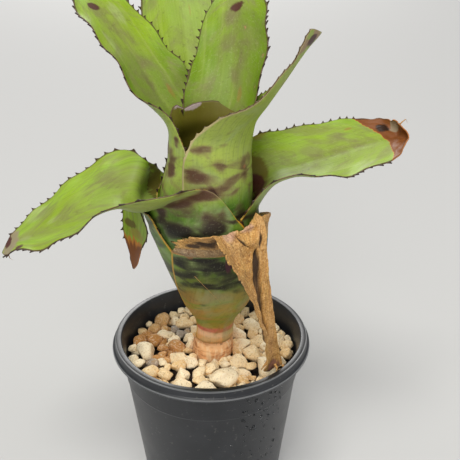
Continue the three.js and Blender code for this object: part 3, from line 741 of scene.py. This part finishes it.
# The same leaf's outside: deep green under a bloom of fine scales, crossed by blurred dark purple
# bands, olive and tan at the foot. It is duller than the upper face.
def scalyLeafUnder():
    material, shader = newMaterial("scalyLeafUnder")
    p = leafPatterns(material, ("edge", "tooth", "blade", "straw"))
    coords = node(material, "TexCoord", out="Object")
    split = node(material, "SeparateXYZ", [coords]).node.outputs
    height, depth = split["Z"], split["Y"]
    level = node(material, "Mapping", {
        "Vector": coords, "Scale": (0.42, 0.42, 1.0), "Rotation": (0, 0.18, 0)})
    bands = node(material, "TexNoise", {
        "Vector": level, "Scale": 115, "Detail": 2.5, "Distortion": 1.0})      # bands 9 mm high
    soft = node(material, "TexNoise", {
        "Vector": level, "Scale": 85, "Detail": 2, "Distortion": 1.0})
    onTube = node(material, "MapRange", (height, 0.195, 0.207, 0.01, -0.06))
    # the front has fewer bands of its own, as patches are placed there
    front = node(material, "MapRange", (depth, -0.018, 0.004, onTube, 0))
    low = node(material, "MapRange", (height, 0.13, 0.152, -0.3, 0))
    onBlade = node(material, "Math", (p["blade"], -0.12, low), operation="MULTIPLY_ADD")
    lower = node(material, "Math", (front, onBlade))
    dark = node(material, "Math", (raised(material, "patch", bands, 0.35), lower))
    rim = node(material, "MapRange", (p["edge"], 1.9, 0.3, 0, 1))
    rim = node(material, "Math", (rim, p["straw"]), operation="MULTIPLY")
    bandColour = layCoats(material, "#1d1914", [(height, 0.185, 0.207, 1.0, "#563a2c")])
    rimColour = layCoats(material, "#cb982c", [(height, 0.19, 0.21, 1.0, "#b5a67a")])
    hazeColour = layCoats(material, "#3f4028", [(height, 0.185, 0.207, 1.0, "#7c6a48")])
    uneven = node(material, "Math", (soft, 0.008, height), operation="MULTIPLY_ADD")
    colour = layCoats(material, "#e2a568", [              # rings at the foot, wandering 4 mm
        (uneven, 0.110, 0.1125, 1.0, "#ecba90"),
        (uneven, 0.1145, 0.1160, 0.9, "#c25a48"),
        (uneven, 0.1170, 0.1190, 1.0, "#a88c38"),
        (uneven, 0.121, 0.134, 1.0, "#ac8038"),
        (uneven, 0.136, 0.146, 1.0, "#8d7036"),
        (uneven, 0.147, 0.158, 1.0, "#667026"),
        (height, 0.151, 0.172, 1.0, "#3c6416"),
        (soft, 0.42, 0.62, 0.6, "#6a9626"),
        (height, 0.196, 0.212, 0.85, "#a4b650"),
        (p["drift"], 0.45, 0.65, 0.3, "#aab052"),
        (p["blade"], 0.1, 1.0, 0.6, "#95a648"),
        (p["streaks"], 0.5, 0.72, 0.3, "#86885a"),
        (p["veins"], 0.45, 0.75, 0.25, "#4d5a1e"),
        (p["haze"], 0.42, 0.66, 0.34, "#98a27c"),
        (dark, 0.4, 0.66, 0.85, hazeColour),
        (dark, 0.52, 0.8, 0.95, bandColour),
        (p["flecks"], 0.5, 0.7, 0.16, "#2c2a1c"),
        (p["scales"], 0.55, 0.72, 0.12, "#a9ae8a"),
        (("blush", p["clouds"], 0.5), 0.72, 1.0, 0.7, "#a06a4c"),
        (("dry", p["clouds"]), 0.74, 0.98, 0.9, "#9a7d66"),
        (("stain", p["clouds"]), 0.74, 1.0, 0.95, "#4a2830"),
        (("paper", p["clouds"]), 0.78, 0.9, 1.0, "#85653a"),
        (rim, 0.3, 0.8, 0.95, rimColour),
        (p["tooth"], 0.05, 0.4, 1.0, "#3a2416"),
    ])
    finishShader(material, shader, colour, p["scales"], (0.4, 0.56),
                 [(p["veins"], 0.6), (p["scales"], 0.3)], 0.3, 0.0004)
    fill(shader, {"IOR": 1.45, "Specular IOR Level": 0.3})
    return material


# The leaf's cut edge: a thin horny line, straw on the sheath and dark brown on the blade.
def hornyLeafMargin():
    material, shader = newMaterial("hornyLeafMargin")
    p = leafPatterns(material)
    colour = layCoats(material, "#c09a40", [
        (p["flecks"], 0.4, 0.65, 0.6, "#8a7a3a"),
        (("blade", p["flecks"], 1.0), 0.8, 1.3, 0.9, "#4a3523"),
        (("tooth", p["flecks"], 1.0), 0.7, 0.9, 1.0, "#2f1c12"),
        (("paper", p["clouds"]), 0.78, 0.9, 1.0, "#a8662a"),
    ])
    finishShader(material, shader, colour, p["flecks"], (0.45, 0.55), [(p["flecks"], 1)], 0.2, 0.0003)
    return material


# Dead leaf gone to brown paper: matt caramel, crumbly, with painted shade in its hollow and creases.
def deadLeafPaper():
    material, shader = newMaterial("deadLeafPaper")
    p = leafPatterns(material)
    coords = node(material, "TexCoord", out="Object")
    crumbs = node(material, "TexNoise", {"Vector": coords, "Scale": 1100, "Detail": 2})
    colour = layCoats(material, "#b98745", [
        (p["clouds"], 0.4, 0.62, 0.9, "#d9a95e"),
        (p["drift"], 0.45, 0.65, 0.4, "#c39260"),
        (("blush", p["clouds"], 0.5), 0.6, 1.0, 0.6, "#cba294"),
        (("lip", p["clouds"], 0.5), 0.55, 0.95, 0.85, "#84735a"),
        (p["streaks"], 0.5, 0.75, 0.25, "#e8be7a"),
        (crumbs, 0.53, 0.66, 0.42, "#7a4b1c"),
        (crumbs, 0.46, 0.34, 0.3, "#f4d49a"),
        (p["flecks"], 0.45, 0.34, 0.5, "#6b4218"),
        # painted shade in the dead leaf's hollow and creases
        (("paintedShade", p["clouds"], 0.55), 0.5, 1.1, 0.96, "#2f1e10"),
        (("stain", p["clouds"]), 0.7, 1.0, 0.85, "#7a5046"),
    ])
    finishShader(material, shader, colour, p["clouds"], (0.62, 0.75),
                 [(p["streaks"], 0.3), (crumbs, 1.0), (p["flecks"], 0.6)], 0.8, 0.0008)
    return material


# Each leaf is a sheet with an outside, an inside and a cut edge. The dead one is paper past its sheath.
def makeLeaves():
    living = [scalyLeafUnder(), waxyLeafUpper(), hornyLeafMargin()]
    paper = deadLeafPaper()
    for number, (name, entry) in enumerate(leaves.items(), start=1):
        leaf = {**usualLeaf, **entry}
        dead = leaf["slot"] == "dry_leaf"
        bm = leafMesh(leaf, number)
        bladeLayer = bm.verts.layers.float["blade"]
        for face in bm.faces:
            if dead and all(vert[bladeLayer] > leafForm["paperFrom"] for vert in face.verts):
                face.material_index = 3
        pieceName = leaf.get("piece", name.replace("leaf_", "blade_"))
        piece = finishPiece(bm, pieceName, living + [paper] * 3 * dead, [name])
        sheet = piece.modifiers.new("thickness", "SOLIDIFY")
        sheet.thickness = leafForm["thickness"] / 1000
        sheet.offset = 0
        sheet.material_offset = 1
        sheet.material_offset_rim = 2
    return paper


deadPaper = makeLeaves()
print("leaves made")

# Dry ends and fibres: points in mm from root to end, and the radius at the root.
threads = [
    ([(-111.7, -12.5, 166.4), (-112, -13, 164.8), (-111.4, -13.6, 163), (-109.6, -14.1, 162)], 0.45),
    ([(111.2, 43.7, 221), (113.4, 43.8, 223.6), (115.7, 44.6, 225.2), (116.9, 44.5, 222.7)], 0.5),
    ([(-7.6, -30.6, 161), (-0.5, -29.9, 152.1), (6.7, -28, 142.3)], 0.12),
    ([(33, -32.3, 106.6), (30.7, -34.3, 104.6), (29, -36.1, 103.2)], 0.9),
    ([(37.2, -30.6, 103.2), (38.3, -32.4, 101.8), (37.7, -34.2, 100.4)], 1.1),
    ([(41.3, -30, 102.1), (43.5, -31.6, 101.2), (44.6, -33.4, 99.7)], 0.8),
]


# A thin tapering thread: a disc drawn out from point to point.
def addThread(bm, points, radius, sides=6):
    points = [Vector(point) for point in points]
    ring = bmesh.ops.create_circle(bm, cap_ends=True, segments=sides, radius=radius)["verts"]
    turn = Vector((0, 0, 1)).rotation_difference(points[1] - points[0]).to_matrix()
    for vert in ring:
        vert.co = points[0] + turn @ vert.co
    face = ring[0].link_faces[0]
    for i, point in enumerate(points[1:], start=1):
        grown = bmesh.ops.extrude_face_region(bm, geom=[face])["geom"]
        ring = [g for g in grown if isinstance(g, bmesh.types.BMVert)]
        face = [g for g in grown if isinstance(g, bmesh.types.BMFace)][0]
        middle = sum((vert.co for vert in ring), Vector()) / len(ring)
        for vert in ring:
            width = radius * (1 - 0.8 * i / (len(points) - 1))
            vert.co = point + (vert.co - middle).normalized() * width


def makeThreads():
    bm = bmesh.new()
    for points, radius in threads:
        addThread(bm, points, radius)
    bmesh.ops.recalc_face_normals(bm, faces=bm.faces)
    return finishPiece(bm, "dry_threads", [deadPaper], ())


makeThreads()


stones = {
    "seed": 20260, "wanted": 128, "tries": 9000,
    "small": 3.3, "large": 6.9, "least": 2.6,     # radii in mm
    "skew": 1.3, "shrink": 0.55,      # small ones are commoner, and more so in the last tries
    "crowding": 0.94,     # how near two may lie, in parts of their radii
    "bedTop": 91.5, "rise": 0.34,     # height of the bed, and of a stone over it in radii
    "stemHole": 13.4, "wallReach": 51.9375,       # from the stem to the pot's wall at the bed's top
    "clear": 1.2,                     # how far from both they keep, in radii
    "lower": 89.8, "lowerSize": (2.4, 1.8), "lowerReach": 47,
    "collar": 15, "collarSize": (2.2, 1.1), "collarRadius": 14.6, "collarTop": 92,
}
stoneForm = {
    "facets": 9, "worn": (0.55, 0.27),            # how near the middle a stone is worn flat
    "fullness": 1.15,
    "lump": (0.16, 1.6), "dent": (0.08, 4.5),     # height and fineness of the unevenness
    "long": (1.0, 0.3), "wide": (0.8, 0.2), "tall": 0.8, "tilt": 0.9,
    "hues": [     # x, y, reach in mm and the kind of the stones there: 0 cream to 1 grey
        (-38, 6, 9, 0.74), (-26, -3, 7, 0.76), (-33, 19, 6, 0.6), (-19, 18, 5, 0.98),
        (-38, -15, 5, 0.96), (-30, -9, 6, 0.7),
    ],
}


# The same draw of numbers as the solid's, so that every stone lies where the solid has it.
def stonePlaces(chance):
    places = []
    for i in range(stones["tries"]):
        if len(places) >= stones["wanted"]:
            break
        shrink = 1 - stones["shrink"] * i / stones["tries"]
        spread = (stones["large"] - stones["small"]) * next(chance) ** stones["skew"]
        radius = max((stones["small"] + spread) * shrink, stones["least"])
        reach = stones["wallReach"] - stones["clear"] * radius
        inner = stones["stemHole"] + stones["clear"] * radius
        r = math.sqrt(inner ** 2 + (reach ** 2 - inner ** 2) * next(chance))
        angle = 2 * math.pi * next(chance)
        x, y = r * math.cos(angle), r * math.sin(angle)
        apart = stones["crowding"]
        if all(math.hypot(ox - x, oy - y) > apart * (o + radius) for ox, oy, o in places):
            places.append((x, y, radius))
    return places


# Horticultural pumice, tumbled: cream to tan glassy foam, with pits and dark grains.
def tumbledPumice():
    look = ["#fae9c6", "#f3d8a8", "#e0b97f", "#bb8242", "#918c85"]
    material, shader = newMaterial("tumbledPumice")
    kind = node(material, "Attribute", out="Fac", attribute_name="stoneKind")
    coords = node(material, "TexCoord", out="Object")
    ramp = node(material, "ValToRGB", [kind]).node
    stops = ramp.color_ramp.elements
    for i, colour in enumerate(look):
        stop = stops[i] if i < 2 else stops.new(i / (len(look) - 1))
        stop.position = i / (len(look) - 1)
        stop.color = linear(colour)
    cloud = node(material, "TexNoise", {"Vector": coords, "Scale": 160, "Detail": 3})
    pits = node(material, "TexNoise", {"Vector": coords, "Scale": 900, "Detail": 3})     # coarsened
    specks = node(material, "TexNoise", {"Vector": coords, "Scale": 800, "Detail": 1})
    height = node(material, "SeparateXYZ", [coords], "Z")
    colour = layCoats(material, ramp.outputs["Color"], [
        (cloud, 0.45, 0.7, 0.3, "#c49a62"),
        (pits, 0.5, 0.68, 0.35, "#fff6e2"),
        (pits, 0.42, 0.34, 0.45, "#ab8048"),
        (specks, 0.66, 0.72, 0.4, "#5a4632"),
        (height, 0.0925, 0.0895, 0.85, "#33241a"),     # painted shade down in the gaps between stones
    ])
    finishShader(material, shader, colour, cloud, (0.82, 0.88), [(pits, 0.7), (cloud, 1.0)], 0.7, 0.0008)
    return material


# A ball worn flat from several sides, then roughened, stretched and turned.
def addStone(bm, look, kindLayer, place, radius, fineness):
    made = bmesh.ops.create_icosphere(bm, subdivisions=fineness, radius=1.0)["verts"]
    near, spread = stoneForm["worn"]
    flats = []
    for _ in range(stoneForm["facets"]):
        way = Vector((next(look) - 0.5, next(look) - 0.5, next(look) - 0.5)).normalized()
        flats.append((way, near + spread * next(look)))
    seedPlace = Vector((next(look), next(look), next(look))) * 20
    long, wide = [least + more * next(look) for least, more in (stoneForm["long"], stoneForm["wide"])]
    turn = Matrix.Rotation(6.28 * next(look), 3, "Z")
    turn = turn @ Matrix.Rotation(stoneForm["tilt"] * (next(look) - 0.5), 3, "X")
    turn = turn @ Matrix.Diagonal((long, wide, stoneForm["tall"]))
    kind = 0.6 * next(look) ** 2
    for x, y, reach, hue in stoneForm["hues"]:
        if math.hypot(place.x - x, place.y - y) < reach:
            kind = hue
    lump, coarse = stoneForm["lump"]
    dent, fine = stoneForm["dent"]
    for vert in made:
        point = vert.co.copy()
        for way, depth in flats:
            point -= way * max(0, point.dot(way) - depth)
        point *= stoneForm["fullness"] + lump * noise.noise(point * coarse + seedPlace)
        point *= 1 + dent * noise.noise(point * fine + seedPlace)
        vert.co = place + (turn @ point) * radius
        vert[kindLayer] = kind


def makeGravel():
    places = stonePlaces(seededRandom(stones["seed"]))
    bm = bmesh.new()
    kindLayer = bm.verts.layers.float.new("stoneKind")
    look = seededRandom(77)
    for x, y, radius in places:
        z = stones["bedTop"] + stones["rise"] * radius
        addStone(bm, look, kindLayer, Vector((x, y, z)), radius * 0.98, 3)
    least, more = stones["lowerSize"]
    for x, y, radius in places:          # a lower layer that shows in the gaps
        angle = 6.28 * next(look)
        shift = radius * (0.9 + 0.5 * next(look))
        spot = Vector((x + shift * math.cos(angle), y + shift * math.sin(angle), stones["lower"]))
        if stones["stemHole"] + 3 < math.hypot(spot.x, spot.y) < stones["lowerReach"]:
            addStone(bm, look, kindLayer, spot, least + more * next(look), 2)
    least, more = stones["collarSize"]
    for i in range(stones["collar"]):    # small ones crowd in against the stem
        angle = 2 * math.pi * (i + 0.5 * next(look)) / stones["collar"]
        reach = stones["collarRadius"] + 1.6 * next(look)
        z = stones["collarTop"] + 1.5 * next(look)
        spot = Vector((reach * math.cos(angle) + 0.9, reach * math.sin(angle), z))
        addStone(bm, look, kindLayer, spot, least + more * next(look), 3)
    return finishPiece(bm, "pumice_stones", [tumbledPumice()], ["pumice_gravel"])


makeGravel()
print("gravel made")

potForm = {
    "profile": [
        (0, 0), (14, 0), (16.2, 2.6), (37.5, 2.6), (38.5, 0), (42.2, 0), (43, 0.9), (43.36, 4),
        (52.3, 80), (52.9, 80.9), (53.4, 98.4), (54.9, 103.4), (56.6, 103.4), (58.5, 98.8),
        (59.8, 98.8), (60, 100.1), (59.6, 100.7), (58.5, 100.9), (58.1, 104.4), (57.5, 105),
        (54.5, 105), (54.2, 104.5),
        (52.2, 97.8), (51.1, 80), (42.1, 4.2), (0, 4.2),
    ],
    "sides": 160,
    "sharp": 25, "rounding": 0.45,            # edges over this angle are rounded by so many mm
    "holes": 8, "holeRadius": 4, "holeCircle": 28, "floor": 3.4, "holeDepth": 5,
    "notchCircle": 42, "notch": (12, 7, 3.2),     # its length, width and height
    "wall": [[0.9, 43], [80, 52.3], [80.7, 52.75], [98.4, 53.4]],     # outer radius by height
    "beads": [     # water beads: angle in degrees, height and radius in mm
        (-60.1, 89.5, 1.3), (-55.6, 85.5, 1.1), (-57.8, 81.9, 0.8), (-55.5, 74.8, 1.3),
        (-49.4, 73.3, 1.0), (-68.8, 77, 1.2), (-65.6, 71, 0.9), (-60.3, 68.9, 1.4),
        (-66.6, 64.8, 0.9), (-60.8, 66.7, 0.7), (-39, 46.5, 1.2), (-44.9, 88.9, 0.9),
        (-44.8, 85.2, 0.8), (-76, 58.3, 0.9), (-45.3, 38.4, 1.1), (-35, 92, 0.8),
    ],
    # and finer beads strewn among them: how many, their least angle, greatest height and least radius
    # with how far each of these goes
    "spray": 64, "sprayAngle": (-72, 34), "sprayHeight": (96, -60), "spraySize": (0.4, 0.45),
    # rings (radius, height in mm) along the rim's edges where painted highlight lines lie
    "paintedHighlightEdges": [(57.9, 104.7), (59.95, 100.3)],
}


# Injection moulded polypropylene, charcoal: satin, with a film of dust and dried splashes, painted shade
# on the flat rim and painted highlight lines along the rim's edges.
def mouldedPolypropylene():
    material, shader = newMaterial("mouldedPolypropylene")
    coords = node(material, "TexCoord", out="Object")
    dust = node(material, "TexNoise", {"Vector": coords, "Scale": 60, "Detail": 4})
    splash = node(material, "TexNoise", {"Vector": coords, "Scale": 420, "Detail": 2})
    grain = node(material, "TexNoise", {"Vector": coords, "Scale": 1500, "Detail": 2})
    height = node(material, "SeparateXYZ", [coords], "Z")
    level = node(material, "Mapping", {"Vector": coords, "Scale": (1, 1, 0)})
    reach = node(material, "VectorMath", [level], "Value", operation="LENGTH")
    section = node(material, "CombineXYZ", (reach, height))
    coats = [
        (dust, 0.4, 0.75, 1.0, "#2b2d31"),
        (splash, 0.64, 0.72, 0.15, "#8a8781"),
        (height, 0.1040, 0.1046, 0.7, "#141516"),         # painted shade darkens the flat rim on top
    ]
    for radius, z in potForm["paintedHighlightEdges"]:                # painted highlight lines along the rim's edges
        away = node(material, "VectorMath", (section, (radius / 1000, z / 1000, 0)), "Value",
                    operation="DISTANCE")
        coats.append((away, 0.0007, 0.0002, 0.6, "#989a9c"))
    colour = layCoats(material, "#202226", coats)
    finishShader(material, shader, colour, dust, (0.34, 0.46), [(grain, 1.0)], 0.1, 0.0003)
    return material


def spun(profile, sides):
    bm = bmesh.new()
    points = [bm.verts.new((r, 0, z)) for r, z in profile]
    edges = [bm.edges.new(pair) for pair in zip(points, points[1:])]
    bmesh.ops.spin(bm, geom=points + edges, cent=(0, 0, 0), axis=(0, 0, 1), angle=2 * math.pi,
                   steps=sides, use_merge=True, use_duplicate=False)
    bmesh.ops.remove_doubles(bm, verts=bm.verts, dist=0.001)
    bmesh.ops.recalc_face_normals(bm, faces=bm.faces)
    return bm


# Drain holes through the floor and notches under the foot ring, as one cutting tool.
def potCutter():
    bm = bmesh.new()
    radius, step = potForm["holeRadius"], 2 * math.pi / potForm["holes"]
    for i in range(potForm["holes"]):
        place = Matrix.Rotation(i * step, 4, "Z")
        place = place @ Matrix.Translation((potForm["holeCircle"], 0, potForm["floor"]))
        bmesh.ops.create_cone(bm, cap_ends=True, segments=24, radius1=radius, radius2=radius,
                              depth=potForm["holeDepth"], matrix=place)
        place = Matrix.Rotation((i + 0.5) * step, 4, "Z")
        place = place @ Matrix.Translation((potForm["notchCircle"], 0, 0))
        bmesh.ops.create_cube(bm, size=1, matrix=place @ Matrix.Diagonal((*potForm["notch"], 1)))
    bmesh.ops.scale(bm, vec=(0.001, 0.001, 0.001), verts=bm.verts)
    return placeMesh(bm, "pot_cutter")


def makePot():
    bm = spun(potForm["profile"], potForm["sides"])
    sharp = [e for e in bm.edges
             if len(e.link_faces) == 2 and e.calc_face_angle(0) > math.radians(potForm["sharp"])]
    bmesh.ops.bevel(bm, geom=sharp, offset=potForm["rounding"], offset_type="OFFSET",
                    affect="EDGES", segments=2, profile=0.5, material=-1)
    pot = finishPiece(bm, "nursery_pot", [mouldedPolypropylene()], ["pot"])
    cutter = potCutter()
    cut = pot.modifiers.new("holes", "BOOLEAN")
    cut.operation = "DIFFERENCE"
    cut.solver = "EXACT"
    cut.object = cutter
    evaluated = pot.evaluated_get(bpy.context.evaluated_depsgraph_get())
    whole = pot.data
    pot.data = bpy.data.meshes.new_from_object(evaluated)
    pot.data.name = "nursery_pot"
    pot.modifiers.clear()
    bpy.data.objects.remove(cutter)
    bpy.data.meshes.remove(whole)
    return pot


# Clean water standing in beads on the plastic: clear, with a bright spot of light in each.
def standingWater():
    material, shader = newMaterial("standingWater")
    fill(shader, {
        "Base Color": "#f4f7f8", "Roughness": 0.04, "IOR": 1.33, "Transmission Weight": 1.0})
    return material


# Flattened drops on the wall, those of the table and a spray among them.
def makeBeads():
    bm = bmesh.new()
    chance = seededRandom(31)
    beads = list(potForm["beads"])
    ranges = [potForm["sprayAngle"], potForm["sprayHeight"], potForm["spraySize"]]
    for _ in range(potForm["spray"]):
        beads.append([start + far * next(chance) ** power
                      for (start, far), power in zip(ranges, (1, 1.2, 1))])
    for degrees, z, radius in beads:
        wall = alongTable(potForm["wall"], z)
        place = Matrix.Rotation(math.radians(degrees), 4, "Z")
        place = place @ Matrix.Translation((wall - 0.1 * radius, 0, z))
        bmesh.ops.create_icosphere(bm, subdivisions=2, radius=radius,
                                   matrix=place @ Matrix.Diagonal((0.55, 1, 1.1, 1)))
    return finishPiece(bm, "water_beads", [standingWater()])


makePot()
makeBeads()
print("pot made")


# Short woody caudex with leaf scars: fibrous, orange to tan.
def scarredStemBark():
    material, shader = newMaterial("scarredStemBark")
    coords = node(material, "TexCoord", out="Object")
    level = node(material, "Mapping", {"Vector": coords, "Scale": (0.3, 0.3, 1.6)})
    upright = node(material, "Mapping", {"Vector": coords, "Scale": (1, 1, 0.2)})
    rings = node(material, "TexNoise", {"Vector": level, "Scale": 260, "Detail": 3})
    streaks = node(material, "TexNoise", {"Vector": upright, "Scale": 500, "Detail": 3})
    colour = layCoats(material, "#efb882", [
        (rings, 0.47, 0.66, 0.85, "#b26c38"),
        (streaks, 0.5, 0.7, 0.6, "#f8dcb0"),
        (streaks, 0.4, 0.3, 0.7, "#8a5228"),
    ])
    finishShader(material, shader, colour, rings, (0.72, 0.8), [(rings, 1.0), (streaks, 1.0)], 0.8, 0.0008)
    return material


# Peat and bark potting mix: dark, crumbly, matt.
def peatMix():
    material, shader = newMaterial("peatMix")
    coords = node(material, "TexCoord", out="Object")
    crumbs = node(material, "TexNoise", {"Vector": coords, "Scale": 500, "Detail": 4})
    colour = layCoats(material, "#1d1510", [(crumbs, 0.4, 0.7, 1.0, "#4a3524")])
    finishShader(material, shader, colour, crumbs, (0.9, 0.98), [(crumbs, 1.0)], 1.0, 0.001)
    return material


stemForm = {
    "profile": [
        (0, 66), (7, 66), (9, 74), (11, 84), (12.2, 91), (12.1, 97), (11.3, 101), (10.3, 102.8),
        (9.4, 104.5), (8.2, 107.5), (7.3, 110.5), (6.6, 114), (6.5, 117), (7, 121), (7.2, 126),
        (7.6, 131), (5.6, 136.5), (0, 139),
    ],
    "step": 1.2, "sides": 56,
    "bare": (85, 112),                # heights between which the scarred bark shows
    "lump": 0.5, "scar": 0.25, "scars": 2.4,      # mm of unevenness and of leaf scars
}


def makeStem():
    fine = []
    for a, b in zip(stemForm["profile"], stemForm["profile"][1:]):
        steps = max(1, round(math.dist(a, b) / stemForm["step"]))
        fine += [Vector(a).lerp(Vector(b), k / steps) for k in range(steps)]
    bm = spun([*fine, stemForm["profile"][-1]], stemForm["sides"])
    low, high = stemForm["bare"]
    for vert in bm.verts:
        x, y, z = vert.co
        r = math.hypot(x, y)
        if r > 2 and low < z < high:
            lump = ripple(3 * x / r, 3 * y / r, z / 5)
            scar = math.sin(stemForm["scars"] * z + 1.5 * y / r)
            scale = 1 + (stemForm["lump"] * lump + stemForm["scar"] * scar) / r
            x, y = x * scale, y * scale
        vert.co = (x + alongTable(leanTable, z), y, z)
    return finishPiece(bm, "stem_bark", [scarredStemBark()], ["stem"])


makeStem()
for slotOfMix in bpy.data.objects["potting_mix"].material_slots:
    slotOfMix.material = peatMix()
print("stem and mix made")

studio = {
    "paper": "#c1c1c0", "floorSize": 3.0,
    "sky": "#f8f8f8", "skyStrength": 0.45,
    "lens": 56, "sensor": 36, "camera": (0.011435, -0.365248, 0.352183), "tilt": 63.9645,
    "aim": (0, 0, 0.15),
    "lamps": [      # name, place, size, watts, colour
        ("key", (-0.4, -0.9, 2.8), 1.1, 45, "#fffdf8"),
        ("back", (-0.35, 3.4, 1.9), 1.4, 60, "#fffefc"),
        ("front", (-0.3, -2.5, 1.9), 1.3, 33, "#fffdfa"),
        ("side", (2.4, -0.6, 1.6), 1.2, 8, "#fbfcff"),
    ],
}


def makeStudio():
    bm = bmesh.new()
    bmesh.ops.create_grid(bm, x_segments=8, y_segments=8, size=studio["floorSize"])
    floor = placeMesh(bm, "studio_floor")
    material, shader = newMaterial("studioPaper")
    fill(shader, {"Base Color": studio["paper"], "Roughness": 0.9})
    floor.data.materials.append(material)
    world = bpy.context.scene.world or bpy.data.worlds.new("studio")
    bpy.context.scene.world = world
    world.use_nodes = True
    fill(world.node_tree.nodes["Background"], {
        "Color": studio["sky"], "Strength": studio["skyStrength"]})
    for name, place, size, watts, colour in studio["lamps"]:
        lamp = bpy.data.lights.new(name, "AREA")
        lamp.size = size
        lamp.energy = watts
        lamp.color = linear(colour)[:3]
        holder = bpy.data.objects.new(name, lamp)
        holder.location = place
        way = Vector(studio["aim"]) - Vector(place)
        holder.rotation_euler = way.to_track_quat("-Z", "Y").to_euler()
        bpy.context.scene.collection.objects.link(holder)


def makeCamera():
    data = bpy.data.cameras.new("camera")
    data.lens = studio["lens"]
    data.sensor_width = studio["sensor"]
    camera = bpy.data.objects.new("camera", data)
    camera.location = studio["camera"]
    camera.rotation_euler = (math.radians(studio["tilt"]), 0, 0)
    bpy.context.scene.collection.objects.link(camera)
    bpy.context.scene.camera = camera


makeStudio()
makeCamera()
print("studio set")
